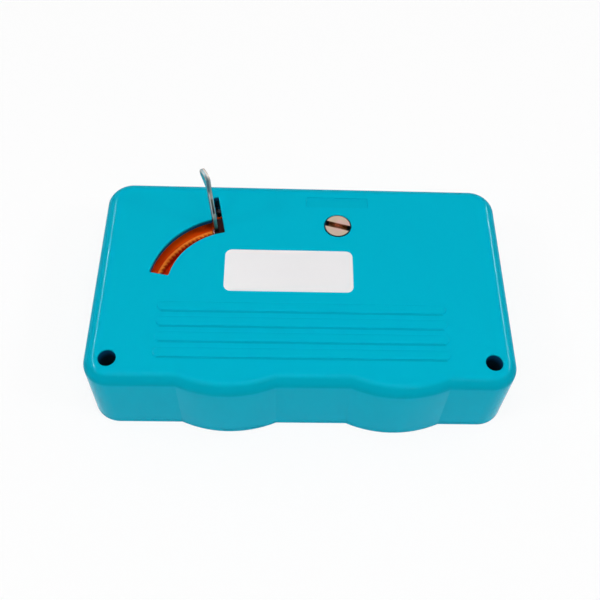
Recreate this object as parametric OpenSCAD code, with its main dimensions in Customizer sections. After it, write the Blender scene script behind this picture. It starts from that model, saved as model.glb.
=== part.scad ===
// Fibre optic cleaning cassette, in millimetres.
// X runs left to right, Y from the front to the back, Z up.
// The origin is the middle of the case's underside, without its two front bulges.

/* [Case] */
// Length of the case, left to right
case_l = 120; // [118:0.5:130]
// Width of the case, front to back, without the bulges
case_w = 69.4; // [69:0.2:76]
// Height of the closed case
case_h = 25.1; // [23:0.1:32]
// Radius of the upright corners
corner_r = 8; // [7:0.25:10]
// Radius of the rounded top edge
edge_r = 3.4; // [2:0.1:4.5]
// How far each wall leans in by the top
lean = 0.45; // [0.2:0.05:0.8]
// Thickness of the side walls
wall = 2.2; // [1.8:0.1:2.4]
// Thickness of the top
top_t = 1.8; // [1.5:0.1:2.4]
// Height of the cover's edge below the seam
rim_t = 1.1; // [0.9:0.1:1.4]
// Radius of the two front bulges
bulge_r = 33.8; // [33.6:0.1:35]

/* [Reels] */
// Distance of the take-up axle from the left end
takeup_inset = 40.5; // [40:0.5:44]
// Distance of both axles from the front wall
axle_inset = 30.95; // [30.8:0.05:32]
// Distance between the two axles
reel_pitch = 46.36; // [45.5:0.1:47.5]
// Radius of the tape wound on the take-up reel
takeup_roll_r = 16; // [14:0.5:18]
// Radius of the tape wound on the supply reel
supply_roll_r = 21; // [18:0.5:21.5]
// Radius of the reel axles
axle_r = 2.5; // [2:0.1:2.7]
// Thickness of the cleaning tape
tape_t = 0.3; // [0.2:0.05:0.4]

/* [Ratchet wheel] */
// Outer radius of the orange flange
wheel_r = 29.4; // [28:0.1:29.6]
// Radius at the tips of the inner teeth
ring_r = 22.9; // [22.6:0.1:23.6]
// Number of inner teeth
ring_teeth = 108; // [72:12:120]
// Depth of the inner teeth
ring_tooth = 0.85; // [0.5:0.05:0.95]

/* [Lever] */
// Angle of the lever at rest, from the X axis
lever_rest = 107; // [106:0.5:109]
// Travel of the lever
lever_travel = 57; // [50:1:57]
// Radius at the front edge of the lever's neck
neck_in = 21.8; // [21:0.1:22.2]
// Radius at the back edge of the lever's neck
neck_out = 23; // [22.8:0.1:24.7]
// Radius at the back edge of the finger tab
tab_out = 26.2; // [25.6:0.1:32.6]
// Height of the finger tab
tab_h = 5.6; // [5:0.1:12]
// Height of the lever above the case
lever_rise = 23.4; // [17:0.2:26]
// Thickness of the lever's steel
lever_t = 1.35; // [1.2:0.05:1.45]
// Sideways lean of the finger tab
lever_lean = 2.5; // [0:0.5:4]

/* [Windows] */
// Inner radius of the curved window
arc_in = 19.5; // [19:0.1:20]
// Outer radius of the curved window
arc_out = 25.1; // [25:0.1:26]
// Angle of the window's right end
arc_start = 101.2; // [100:0.1:101.5]
// Angle of the window's left end
arc_end = 169.7; // [169.5:0.1:172]
// Radius at the outer end of the straight slot
slot_out = 33.1; // [32.9:0.1:34]
// Width of the straight slot
slot_w = 1.6; // [1.5:0.05:1.8]
// Width of each cleaning window
port_w = 11; // [9:0.5:11.5]
// Height of each cleaning window
port_h = 8.4; // [6:0.2:9]
// Distance of each cleaning window from the middle
port_x = 14; // [13.5:0.5:15]

/* [Coin screw] */
// Radius of the coin screw's head
coin_r = 3.95; // [3.5:0.05:4.2]
// Width of its coin slot
coin_slot = 1.5; // [1:0.1:2]
// Depth of its coin slot
coin_depth = 0.9; // [0.6:0.1:1]

/* [Markings] */
// Length of the blank label
label_l = 37.3; // [30:0.1:38]
// Width of the blank label
label_w = 14.3; // [12:0.1:14.6]
// Length of the blank sunk panel
panel_l = 18.8; // [16:0.1:20]
// Width of the blank sunk panel
panel_w = 3.75; // [3:0.05:4]
// Length of the raised ribs
rib_l = 81.5; // [70:0.5:84]
// Width of the raised ribs
rib_w = 2.8; // [2:0.1:3.2]
// Distance between the raised ribs
rib_pitch = 4.86; // [4.4:0.02:4.9]
// Height of the raised ribs
rib_h = 0.4; // [0.2:0.05:0.6]

/* [Hidden] */
$fn = 96;
hull_fn = 32;

// Clearances
over = 1;             // overrun of every cut
seam = 0.15;          // line between case and cover
run = 0.06;           // running fit round an axle or a pin
snug = 0.03;          // a piece that stays put in its seat
gap = 0.3;            // between pieces that pass each other
slip = 0.1;           // between flat faces that slide
hold = 0.2;           // between a pawl's nose and the tips of the teeth

// Where things stand
front_y = -case_w / 2;
back_y = case_w / 2;
axle_y = front_y + axle_inset;
takeup_x = -case_l / 2 + takeup_inset;
supply_x = takeup_x + reel_pitch;
bulge_shift = 1.1;    // the left bulge lies a little left of its axle
screw_inset_x = 7.25;
screw_inset_y = 7.56;
coin_shift = 16.36;    // coin screw left of the supply axle, between the reels
coin_inset_y = 16.14;
screw_x = case_l / 2 - screw_inset_x;
screw_y = front_y + screw_inset_y;
coin_x = supply_x - coin_shift;
coin_y = back_y - coin_inset_y;
inner_x = case_l / 2 - lean - wall;
inner_y = case_w / 2 - lean - wall;

// Heights, from the floor up and from the ceiling down
floor_t = 2.2;        // cover with its locating step
pad_h = 0.8;          // thrust pads on the floor
ceiling = case_h - top_t;
lever_gap = 0.25;
ring_gap = 0.35;
link_t = 0.5;         // sheet of the shutter
sector_t = 0.75;
ring_h = 2.5;         // height of the toothed ring
web_t = 0.8;          // wheel's web
flange_drop = 0.8;    // flange below the ring's top
tape_gap = 0.7;       // tape to web
catch_t = 1;          // lower ratchet
arm_z = ceiling - lever_gap - lever_t;
sector_z = arm_z - sector_t;
link_z = arm_z - slip - link_t;
ring_top = sector_z - ring_gap;
web_top = ring_top - ring_h;
web_z = web_top - web_t;
reel_z = floor_t + pad_h + slip;
tape_z = reel_z + catch_t + gap;
tape_top = web_z - tape_gap;
tape_w = tape_top - tape_z;

// Case details
edge_steps = 7;       // facets of the rounded edge
rib_count = 4;
rib_inset = 8.04;     // front wall to the first rib
rib_sink = 0.2;
panel_inset = 7.35;   // back edge to the middle of the sunk panel
panel_depth = 0.3;
label_x = -4.05;
label_inset = 29.4;   // front wall to the label
label_t = 0.2;
label_r = 2;
port_z = tape_z + tape_w / 2;
port_r = 1;

// Corner screws
hole_r = 2.4;
post_r = 5.2;
post_z = 12;
seat_t = 2;           // metal screw's seat in the post
screw_r = 1.3;
screw_l = 9.5;
screw_head_r = 2.1;
screw_head_h = 1.6;
screw_cross = 0.5;    // width of the cross recess
screw_cross_l = 2.5;
boss_r = 3.6;
blind = 0.9;          // how deep an axle or a pin stands in the floor
foot_z = floor_t - blind;

// Coin screw
coin_t = 1.5;
coin_turn = -15;      // slot's direction when locked
shank_r = 2;
coin_boss_r = 5.2;
coin_boss_z = 11.5;
clip_t = 0.6;
clip_r = 3.6;
cup_r = 4.6;
cup_in = 3.4;
cup_top = 9.8;
ledge_t = 1.6;
bar_l = 6.4;
bar_w = 1.6;
bar_h = 1.6;
cup_floor = 1;        // floor of the cup above the cover's floor

// Reels
core_r = 10;
supply_core_r = 9;
spool_lip = 0.9;
spool_flange_r = 13;
washer_t = 0.6;
washer_r = 4.6;
axle_boss_r = 5.2;
spool_top = tape_top + spool_lip;
supply_boss_z = spool_top + 2 * slip + washer_t;
axle_cap = 0.8;       // take-up axle above the ceiling
axle_hold = 2.8;      // supply axle in its boss
dog = 12;             // square dog between hub and wheel
catch_r = 13.2;
catch_teeth = 36;
catch_tooth = 0.9;
ring_wall = 0.6;      // ring behind the roots of its teeth
flange_t = 0.8;

// Guide rollers
roller_r = 4;
roller_pin_r = 1.5;
roller_lip = 0.5;
roller_inset_x = 10.5;
roller_inset_y = 8.7;
roller_post_r = 3;
pin_hold = 1.5;
roller_x = case_l / 2 - roller_inset_x;
roller_y = back_y - roller_inset_y;
roller_z = tape_z - roller_lip;
roller_top = tape_top + roller_lip;

// Tape path: the tape's middle line runs this far outside each round
path_off = gap - slip + tape_t / 2;
tape_inner = roller_y + roller_r + path_off - tape_t / 2;
tape_outer = tape_inner + tape_t;
bend_steps = 16;

// Rubber pad and its carrier
rubber_l = 44;
rubber_t = 3.2;
rubber_margin = 0.6;
carrier_t = 2.2;
carrier_margin = 3;
rubber_y = tape_inner - slip - rubber_t;
rubber_z = tape_z + rubber_margin;

// Lever, its hub and its toothed sector
pitch_r = 12;
gear_teeth = 24;
pressure = 20;
backlash = 0.08;      // taken off each flank
root_extra = 0.25;    // dedendum past one module, in modules
tooth_steps = 4;
module_mm = 2 * pitch_r / gear_teeth;
pitch_step = 360 / gear_teeth;
first_tooth = -1;
last_tooth = 5;
spigot = 8;
hub_boss_r = 6;
hub_r = 17.5;
hub_t = 1.2;
hub_z = web_top + gap;
arm_w = 6;
arm_r = 8;
tab_r = 1.7;
tab_front = 0.3;       // finger tab past the neck's front edge
tab_turn = 12;         // turn of neck and tab about that edge
bend_lip = 0.2;
bend_y = lever_t / 2 + bend_lip + (neck_out - neck_in) * sin(tab_turn);   // left edge of the arm

// Pawls, in their own frame: pin at zero, nose along X
pawl_t = 0.9;
pawl_r = 1.6;
nose_r = 0.4;
pawl_pin_r = 0.8;
pawl_pin_rise = 0.15;
leaf_t = 0.3;
leaf_back = 5;        // anchor behind the pin
leaf_side = 3.5;      // anchor beside the pin
leaf_tip = 2.6;       // tip ahead of the pin
leaf_tip_side = 1.9;  // tip beside the pin
leaf_post_r = 1.2;
drive_pin_r = 15;     // drive pawl's pin from the axle
drive_pin_a = 20;
drive_nose_a = 40;
drive_nose_at = ring_r - hold - nose_r;
catch_pin_r = 17.5;
catch_pin_a = -105;
catch_nose_a = -80;
catch_nose_at = catch_r + hold + nose_r;
pawl_z = hub_z + hub_t + slip;

// Shutter with its rack
travel_x = pitch_r * lever_travel * PI / 180;
blade_y = tape_outer + gap;
blade_z = floor_t + gap;
blade_margin = 2.5;   // blade past the windows that it covers and its own holes
hole_margin = 0.3;    // shutter's holes round the windows
link_left = 3.5;      // link's edges from the take-up axle
link_right = 17.5;
rack_left = 6.3;
rack_right = 18.2;
rack_back = 3;        // bar behind the rack's roots
rail_t = 0.8;
rail_h = 1.6;
rail_l = 73;

// Return spring on its rod
rod_r = 0.7;
rod_rise = 2.1;       // rod above the tape
rod_inset = 7.1;      // rod from the back
rod_hole = 1;
tab_w = 3;
rod_z = tape_top + rod_rise;
rod_y = back_y - rod_inset;
rod_end = 3;          // rod past the tab
bracket_t = 2;
bracket_w = 5;
bracket_shift = 26.5;
bracket_x = takeup_x - bracket_shift;
rod_seat = 1.5;
coil_r = 1.3;
wire_r = 0.25;
coil_turns = 12;
coil_steps = 8;       // rings in a turn
wire_sides = 6;

// Plan outline of straight sides and true arcs, drawn in by inset
module plan(inset) {
    x = case_l / 2 - inset;
    y = case_w / 2 - inset;
    r = corner_r - inset;
    square([2 * (x - r), 2 * y], center = true);
    square([2 * x, 2 * (y - r)], center = true);
    for (sx = [-1, 1], sy = [-1, 1]) translate([sx * (x - r), sy * (y - r)]) circle(r);
    intersection() {
        union() {
            translate([takeup_x - bulge_shift, axle_y]) circle(bulge_r - inset);
            translate([supply_x, axle_y]) circle(bulge_r - inset);
        }
        translate([-case_l / 2, front_y - corner_r]) square([case_l, 2 * corner_r]);
    }
}

module at_takeup() { translate([takeup_x, axle_y, 0]) children(); }
module at_supply() { translate([supply_x, axle_y, 0]) children(); }
module at_coin() { translate([coin_x, coin_y, 0]) children(); }
module at_corner_screws() { for (s = [-1, 1]) translate([s * screw_x, screw_y, 0]) children(); }
module at_rollers() { for (s = [-1, 1]) translate([s * roller_x, roller_y, 0]) children(); }

// A round bar from one height to another
module bar(r, z0, z1) { translate([0, 0, z0]) cylinder(h = z1 - z0, r = r); }

module tube(r_out, r_in, z0, z1) {
    difference() {
        bar(r_out, z0, z1);
        bar(r_in, z0 - over, z1 + over);
    }
}

module round_rect(l, w, r) {
    square([l - 2 * r, w], center = true);
    square([l, w - 2 * r], center = true);
    for (sx = [-1, 1], sy = [-1, 1]) translate([sx * (l / 2 - r), sy * (w / 2 - r)]) circle(r);
}

function polar(r, a) = [r * cos(a), r * sin(a)];

// A flat strip of thickness t from p to q
module strip(p, q, t) {
    d = q - p;
    translate(p) rotate(atan2(d[1], d[0])) translate([0, -t / 2]) square([norm(d), t]);
}

// A ring sector, for angles under half a turn
module sector(r_in, r_out, a0, a1) {
    far = 2 * r_out;
    mid = (a0 + a1) / 2;
    intersection() {
        difference() {
            circle(r_out);
            circle(r_in);
        }
        polygon([[0, 0], polar(far, a0), polar(far, mid), polar(far, a1)]);
    }
}

// Half section of a wall of plan radius r: leaning side, rounded edge, flat top
function wall_section(r) = concat(
    [[0, 0], [r, 0]],
    [for (i = [0:edge_steps]) let (a = i * 90 / edge_steps)
        [r - lean - edge_r + edge_r * cos(a), case_h - edge_r + edge_r * sin(a)]],
    [[0, case_h]]);

module case_form() {
    hull() for (sx = [-1, 1], sy = [-1, 1])
        translate([sx * (case_l / 2 - corner_r), sy * (case_w / 2 - corner_r), 0])
            rotate_extrude($fn = hull_fn) polygon(wall_section(corner_r));
    intersection() {
        for (x = [takeup_x - bulge_shift, supply_x])
            translate([x, axle_y, 0]) rotate_extrude() polygon(wall_section(bulge_r));
        translate([-case_l / 2, front_y - corner_r, -over]) cube([case_l, 2 * corner_r, case_h + 2 * over]);
    }
}

module ribs() {
    for (i = [0:rib_count - 1])
        translate([0, front_y + rib_inset + rib_w / 2 + i * rib_pitch, case_h - rib_sink])
            linear_extrude(rib_h + rib_sink) {
                square([rib_l - rib_w, rib_w], center = true);
                for (s = [-1, 1]) translate([s * (rib_l - rib_w) / 2, 0]) circle(rib_w / 2);
            }
}

// The curved window and the straight slot that lets the finger tab through
module lever_opening() {
    at_takeup() translate([0, 0, ceiling - over]) linear_extrude(top_t + 2 * over) {
        sector(arc_in, arc_out, arc_start, arc_end);
        rotate(arc_start) translate([(arc_in + arc_out) / 2, slip])
            square([slot_out - (arc_in + arc_out) / 2, slot_w]);
    }
}

module cleaning_windows() {
    for (s = [-1, 1]) translate([s * port_x, inner_y - over, port_z]) rotate([-90, 0, 0])
        linear_extrude(back_y - inner_y + 2 * over) round_rect(port_w, port_h, port_r);
}

module top_case() {
    color([0.03, 0.69, 0.8]) difference() {
        union() {
            difference() {
                case_form();
                translate([0, 0, -over]) linear_extrude(ceiling + over) plan(lean + wall);
            }
            ribs();
            at_corner_screws() bar(post_r, post_z, ceiling + top_t / 2);
            at_coin() bar(coin_boss_r, coin_boss_z, ceiling + top_t / 2);
            at_supply() bar(axle_boss_r, supply_boss_z, ceiling + top_t / 2);
            at_rollers() bar(roller_post_r, roller_top + slip, ceiling + top_t / 2);
            translate([bracket_x - bracket_t, rod_y - bracket_w / 2, roller_top + slip])
                cube([bracket_t, bracket_w, ceiling + top_t / 2 - roller_top - slip]);
            translate([takeup_x - link_right, blade_y - rail_t - slip, link_z + link_t + slip])
                cube([2 * link_right, rail_t, ceiling + top_t / 2 - link_z - link_t - slip]);
        }
        translate([-case_l, -case_w, -over]) cube([2 * case_l, 2 * case_w, rim_t + seam + over]);
        lever_opening();
        cleaning_windows();
        at_corner_screws() {
            bar(hole_r, post_z + seat_t, case_h + over);
            bar(screw_r + slip, post_z - over, case_h);
        }
        at_coin() {
            bar(coin_r + hold, case_h - coin_t, case_h + over);
            bar(shank_r + run, coin_boss_z - over, case_h);
        }
        at_takeup() bar(axle_r + snug, ceiling - over, ceiling + axle_cap + slip);
        at_supply() bar(axle_r + snug, supply_boss_z - over, supply_boss_z + axle_hold + slip);
        at_rollers() bar(roller_pin_r + snug, roller_top - over, roller_top + slip + pin_hold + slip);
        translate([bracket_x - rod_seat - slip, rod_y, rod_z]) rotate([0, 90, 0])
            cylinder(h = rod_seat + slip + over, r = rod_r + snug);
        translate([coin_x, back_y - panel_inset, case_h - panel_depth])
            linear_extrude(panel_depth + over) square([panel_l, panel_w], center = true);
    }
}

module bottom_cover() {
    color([0.03, 0.69, 0.8]) difference() {
        union() {
            linear_extrude(rim_t) plan(0);
            linear_extrude(floor_t) plan(lean + wall + hold);
            at_corner_screws() bar(boss_r, floor_t / 2, post_z);
            at_coin() bar(cup_r, floor_t / 2, cup_top);
            at_takeup() bar(axle_boss_r, floor_t / 2, floor_t + pad_h);
            at_supply() bar(axle_boss_r, floor_t / 2, floor_t + pad_h);
            at_rollers() bar(roller_post_r, floor_t / 2, roller_z - slip);
            at_takeup() translate(polar(catch_pin_r, catch_pin_a))
                bar(2 * pawl_pin_r, floor_t / 2, reel_z - slip);
            at_catch() leaf_post(-1, floor_t / 2, reel_z + pawl_t);
            translate([-rail_l / 2, blade_y - slip - rail_t, floor_t / 2])
                cube([rail_l, rail_t, floor_t / 2 + rail_h]);
        }
        at_corner_screws() bar(screw_r + snug, post_z + seat_t - screw_l - slip, post_z + over);
        at_coin() {
            bar(cup_in, floor_t + cup_floor, cup_top - ledge_t);
            bar(shank_r + hold, floor_t + cup_floor, cup_top + over);
            translate([0, 0, floor_t + cup_floor]) rotate(coin_turn + 90) linear_extrude(cup_top)
                square([2 * cup_in, bar_w + 2 * hold], center = true);
        }
        at_takeup() bar(axle_r + snug, foot_z, floor_t + pad_h + over);
        at_supply() bar(axle_r + snug, foot_z, floor_t + pad_h + over);
        at_rollers() bar(roller_pin_r + snug, foot_z, roller_z + over);
        at_takeup() translate(polar(catch_pin_r, catch_pin_a)) bar(pawl_pin_r + snug, foot_z, reel_z + over);
        at_catch() leaf_slot(-1, reel_z, reel_z + pawl_t);
    }
}

module label() {
    color([0.9, 0.88, 0.92]) translate([label_x, front_y + label_inset + label_w / 2, case_h])
        linear_extrude(label_t) round_rect(label_l, label_w, label_r);
}

module corner_screws() {
    head_z = post_z + seat_t;
    color([0.45, 0.45, 0.47]) at_corner_screws() difference() {
        union() {
            bar(screw_r, head_z - screw_l, head_z + screw_head_h / 2);
            bar(screw_head_r, head_z, head_z + screw_head_h);
        }
        for (a = [0, 90]) translate([0, 0, head_z + screw_head_h / 2]) rotate(a)
            linear_extrude(screw_head_h) square([screw_cross_l, screw_cross], center = true);
    }
}

module coin_screw() {
    bar_z = cup_top - ledge_t - slip - bar_h;
    color([0.8, 0.74, 0.66]) at_coin() difference() {
        union() {
            bar(coin_r, case_h - coin_t, case_h);
            bar(shank_r, bar_z, case_h - coin_t / 2);
            translate([0, 0, bar_z]) rotate(coin_turn) linear_extrude(bar_h)
                square([bar_l, bar_w], center = true);
        }
        translate([0, 0, case_h - coin_depth]) rotate(coin_turn) linear_extrude(coin_depth + over)
            square([2 * coin_r + over, coin_slot], center = true);
    }
}

module screw_retainer() {
    color([0.6, 0.6, 0.62]) at_coin()
        tube(clip_r, shank_r + snug, coin_boss_z - slip - clip_t, coin_boss_z - slip);
}

module takeup_axle() { color([0.75, 0.75, 0.77]) at_takeup() bar(axle_r, foot_z, ceiling + axle_cap); }
module supply_axle() { color([0.75, 0.75, 0.77]) at_supply() bar(axle_r, foot_z, supply_boss_z + axle_hold); }

// Saw teeth: each step drops from tip to root at once and slopes back to the next tip
function saw(n, r_first, r_last) =
    [for (i = [0:n - 1]) each [polar(r_first, i * 360 / n), polar(r_last, i * 360 / n)]];

module takeup_hub() {
    color([0.92, 0.92, 0.9]) at_takeup() difference() {
        union() {
            translate([0, 0, reel_z]) linear_extrude(catch_t)
                polygon(saw(catch_teeth, catch_r - catch_tooth, catch_r));
            bar(core_r, reel_z, web_z);
            translate([0, 0, reel_z]) linear_extrude(web_top - reel_z) square(dog, center = true);
        }
        bar(axle_r + run, reel_z - over, web_top + over);
    }
}

// Internal ratchet ring on a web, with a flange round it
module ratchet_wheel() {
    ring_out = ring_r + ring_tooth + ring_wall;
    color([0.86, 0.31, 0.05]) at_takeup() {
        difference() {
            union() {
                bar(ring_out, web_z, ring_top);
                bar(wheel_r, ring_top - flange_drop - flange_t, ring_top - flange_drop);
            }
            translate([0, 0, web_top]) linear_extrude(ring_h + over)
                polygon(saw(ring_teeth, ring_r + ring_tooth, ring_r));
            translate([0, 0, web_z - over]) linear_extrude(web_t + 2 * over)
                square(dog + 2 * snug, center = true);
        }
    }
}

module takeup_tape() {
    color([0.95, 0.95, 0.93]) at_takeup() tube(takeup_roll_r, core_r + snug, tape_z, tape_top);
}

module supply_spool() {
    color([0.92, 0.92, 0.9]) at_supply() difference() {
        union() {
            bar(spool_flange_r, reel_z, reel_z + catch_t);
            bar(supply_core_r, reel_z, spool_top);
        }
        bar(axle_r + run, reel_z - over, spool_top + over);
    }
}

module supply_tape() {
    color([0.95, 0.95, 0.93]) at_supply() tube(supply_roll_r, supply_core_r + snug, tape_z, tape_top);
}

module brake_washer() {
    color([0.5, 0.5, 0.45]) at_supply()
        tube(washer_r, axle_r + slip, spool_top + slip, spool_top + slip + washer_t);
}

module drive_hub() {
    color([0.15, 0.15, 0.16]) difference() {
        union() {
            at_takeup() {
                bar(hub_r, hub_z, hub_z + hub_t);
                bar(hub_boss_r, hub_z, sector_z);
                translate([0, 0, hub_z]) rotate(lever_rest) linear_extrude(arm_z + lever_t - hub_z)
                    square(spigot, center = true);
            }
            at_drive_pawl() leaf_post(1, hub_z + hub_t / 2, pawl_z + pawl_t);
        }
        at_takeup() bar(axle_r + run, hub_z - over, ceiling);
        at_drive_pawl() {
            bar(pawl_pin_r + snug, hub_z + 2 * slip, pawl_z + over);
            leaf_slot(1, pawl_z, pawl_z + pawl_t);
        }
    }
}

// Angle by which an involute has turned at the pressure angle a
function inv(a) = tan(a) * 180 / PI - a;

// Half of a tooth's angle at radius r, less the backlash
function half_tooth(r) = let (base = pitch_r * cos(pressure))
    pitch_step / 4 + inv(pressure) - inv(r > base ? acos(base / r) : 0) - backlash / pitch_r * 180 / PI;

module sector_gear() {
    base = pitch_r * cos(pressure);
    root = pitch_r - (1 + root_extra) * module_mm;
    tip = pitch_r + module_mm;
    radii = concat([root - module_mm], [for (i = [0:tooth_steps]) base + i * (tip - base) / tooth_steps]);
    n = len(radii);
    color([0.7, 0.7, 0.72]) at_takeup() translate([0, 0, sector_z]) linear_extrude(sector_t) difference() {
        union() {
            circle(root);
            for (k = [first_tooth:last_tooth]) rotate(90 - k * pitch_step) polygon(concat(
                [for (r = radii) polar(r, -half_tooth(r))],
                [for (i = [n - 1:-1:0]) polar(radii[i], half_tooth(radii[i]))]));
        }
        rotate(lever_rest) square(spigot + 2 * snug, center = true);
    }
}

// Bent steel: a flat arm on the hub, and a finger tab that stands up along its left edge
module lever() {
    color([0.8, 0.79, 0.76]) at_takeup() rotate(lever_rest) {
        translate([0, 0, arm_z]) linear_extrude(lever_t) difference() {
            union() {
                circle(arm_r);
                polygon([[0, bend_y], [0, -arm_w], [neck_in - arm_w, -arm_w], [neck_in, -arm_w / 2],
                         [neck_out - bend_lip, -arm_w / 2], [neck_out - bend_lip, bend_y]]);
            }
            square(spigot + 2 * snug, center = true);
        }
        translate([0, 0, arm_z + lever_t]) rotate([-lever_lean, 0, 0])
            translate([neck_in, 0, 0]) rotate(tab_turn) translate([0, lever_t / 2, 0])
                rotate([90, 0, 0]) linear_extrude(lever_t) tab_outline();
    }
}

// Neck and finger tab, seen from the side: away from the neck's front edge, and up from the arm
module tab_outline() {
    top = case_h - arm_z - lever_t + lever_rise;
    foot = lever_t / 2;
    neck_w = neck_out - neck_in;
    translate([0, -foot]) square([neck_w, top - tab_h + foot]);
    hull() {
        translate([0, top - tab_h - bend_lip]) square([neck_w, bend_lip]);
        translate([tab_r - tab_front, top - tab_r]) circle(tab_r);
        translate([tab_out - neck_in - tab_r, top - tab_r]) circle(tab_r);
    }
}

// A pawl's frame round the axle: pin at zero, nose along X
module pawl_frame(pin_r, pin_a, nose_at, nose_a) {
    pin = polar(pin_r, pin_a);
    d = polar(nose_at, nose_a) - pin;
    translate(pin) rotate(atan2(d[1], d[0])) children();
}
module at_drive_pawl() {
    at_takeup() pawl_frame(drive_pin_r, drive_pin_a, drive_nose_at, drive_nose_a) children();
}
module at_catch() {
    at_takeup() pawl_frame(catch_pin_r, catch_pin_a, catch_nose_at, catch_nose_a) children();
}

// side is 1 or -1: which side of the pawl the spring presses on
module leaf(side, z0, z1, t, longer) {
    p = [-leaf_back, side * leaf_side];
    q = [leaf_tip, side * leaf_tip_side];
    u = (q - p) / norm(q - p);
    translate([0, 0, z0]) linear_extrude(z1 - z0) strip(p - longer * u, q, t);
}
module leaf_post(side, z0, z1) { translate([-leaf_back, side * leaf_side, 0]) bar(leaf_post_r, z0, z1); }

// Spring, bent at its anchor round the post's slot
module leaf_spring(side, z0, z1) { leaf(side, z0, z1, leaf_t, 0); }
module leaf_slot(side, z0, z1) { leaf(side, z0 - snug, z1 + over, leaf_t + 2 * snug, snug); }

module pawl(length, z) {
    translate([0, 0, z]) linear_extrude(pawl_t) difference() {
        hull() {
            circle(pawl_r);
            translate([length, 0]) circle(nose_r);
        }
        circle(pawl_pin_r + run);
    }
}

module drive_pawl() {
    color([0.55, 0.55, 0.58]) at_drive_pawl()
        pawl(norm(polar(drive_nose_at, drive_nose_a) - polar(drive_pin_r, drive_pin_a)), pawl_z);
}

module drive_pawl_pin() {
    color([0.75, 0.75, 0.77]) at_drive_pawl()
        bar(pawl_pin_r, hub_z + 2 * slip, pawl_z + pawl_t + pawl_pin_rise);
}

module drive_pawl_spring() {
    color([0.72, 0.7, 0.62]) at_drive_pawl() leaf_spring(1, pawl_z, pawl_z + pawl_t);
}

module holding_pawl() {
    color([0.55, 0.55, 0.58]) at_catch()
        pawl(norm(polar(catch_nose_at, catch_nose_a) - polar(catch_pin_r, catch_pin_a)), reel_z);
}

module holding_pawl_pin() {
    color([0.75, 0.75, 0.77]) at_catch() bar(pawl_pin_r, foot_z, reel_z + pawl_t + pawl_pin_rise);
}

module holding_pawl_spring() {
    color([0.72, 0.7, 0.62]) at_catch() leaf_spring(-1, reel_z, reel_z + pawl_t);
}

module guide_roller() { tube(roller_r, roller_pin_r + run, roller_z, roller_top); }

module left_guide_roller() {
    color([0.9, 0.9, 0.88]) translate([-roller_x, roller_y, 0]) guide_roller();
}

module right_guide_roller() {
    color([0.9, 0.9, 0.88]) translate([roller_x, roller_y, 0]) guide_roller();
}

module guide_pins() {
    color([0.75, 0.75, 0.77]) at_rollers() bar(roller_pin_r, foot_z, roller_top + slip + pin_hold);
}

// Angle of the common outer tangent of two rounds, from one centre to the other
function tangent_a(p, q, rp, rq, side) = let (d = q - p)
    atan2(d[1], d[0]) + side * acos((rp - rq) / norm(d));

// One band round both rollers, from the supply reel to the take-up reel
module tape_run() {
    b = [supply_x, axle_y];
    a = [takeup_x, axle_y];
    right = [roller_x, roller_y];
    left = [-roller_x, roller_y];
    on = roller_r + path_off;
    out = supply_roll_r + path_off;
    into = takeup_roll_r + path_off;
    n_right = tangent_a(b, right, out, on, -1);
    n_left = tangent_a(a, left, into, on, 1);
    path = concat(
        [[b + polar(out, n_right), n_right]],
        [for (i = [0:bend_steps]) let (w = n_right + (90 - n_right) * i / bend_steps) [right + polar(on, w), w]],
        [for (i = [0:bend_steps]) let (w = 90 + (n_left - 90) * i / bend_steps) [left + polar(on, w), w]],
        [[a + polar(into, n_left), n_left]]);
    last = len(path) - 1;
    color([0.97, 0.97, 0.95]) translate([0, 0, tape_z]) linear_extrude(tape_w) polygon(concat(
        [for (q = path) q[0] + polar(tape_t / 2, q[1])],
        [for (i = [last:-1:0]) path[i][0] - polar(tape_t / 2, path[i][1])]));
}

module backing_pad() {
    color([0.2, 0.2, 0.2]) translate([-rubber_l / 2, rubber_y, rubber_z])
        cube([rubber_l, rubber_t, tape_top - rubber_margin - rubber_z]);
}

module pad_carrier() {
    color([0.03, 0.69, 0.8]) translate([-rubber_l / 2 - carrier_margin, rubber_y - carrier_t, floor_t])
        cube([rubber_l + 2 * carrier_margin, carrier_t, tape_top - rubber_margin - floor_t]);
}

// One rack tooth, its tip toward the front
module rack_tooth() {
    half = PI * module_mm / 4 - backlash;
    grow = tan(pressure);
    add = module_mm;
    ded = (1 + root_extra) * module_mm;
    polygon([[-half - ded * grow, ded + add], [-half - ded * grow, ded], [-half + add * grow, -add],
             [half - add * grow, -add], [half + ded * grow, ded], [half + ded * grow, ded + add]]);
}

// Bent steel: a sheet with the rack, and a blade that covers the windows
module shutter() {
    pitch = PI * module_mm;
    rack_root = pitch_r + (1 + root_extra) * module_mm;
    left = takeup_x - link_left;
    color([0.62, 0.63, 0.65]) difference() {
        union() {
            at_takeup() translate([0, 0, link_z]) linear_extrude(link_t) {
                translate([-rack_left, rack_root]) square([rack_left + rack_right, rack_back]);
                for (j = [first_tooth - 1:last_tooth]) translate([(j + 1 / 2) * pitch, pitch_r]) rack_tooth();
                translate([-link_left, rack_root])
                    square([link_left + link_right, blade_y + link_t - axle_y - rack_root]);
            }
            translate([-port_x - port_w / 2 - blade_margin, blade_y, blade_z])
                cube([2 * port_x + port_w + travel_x + hole_margin + 2 * blade_margin, link_t,
                      link_z + link_t - blade_z]);
            translate([left, rod_y - tab_w / 2, rod_z - tab_w / 2])
                cube([link_t, tab_w, link_z + link_t / 2 - rod_z + tab_w / 2]);
        }
        for (s = [-1, 1]) translate([s * port_x + travel_x, blade_y - over, port_z]) rotate([-90, 0, 0])
            linear_extrude(link_t + 2 * over)
                round_rect(port_w + 2 * hole_margin, port_h + 2 * hole_margin, port_r + hole_margin);
        translate([left - over, rod_y, rod_z]) rotate([0, 90, 0]) cylinder(h = link_t + 2 * over, r = rod_hole);
    }
}

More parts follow.
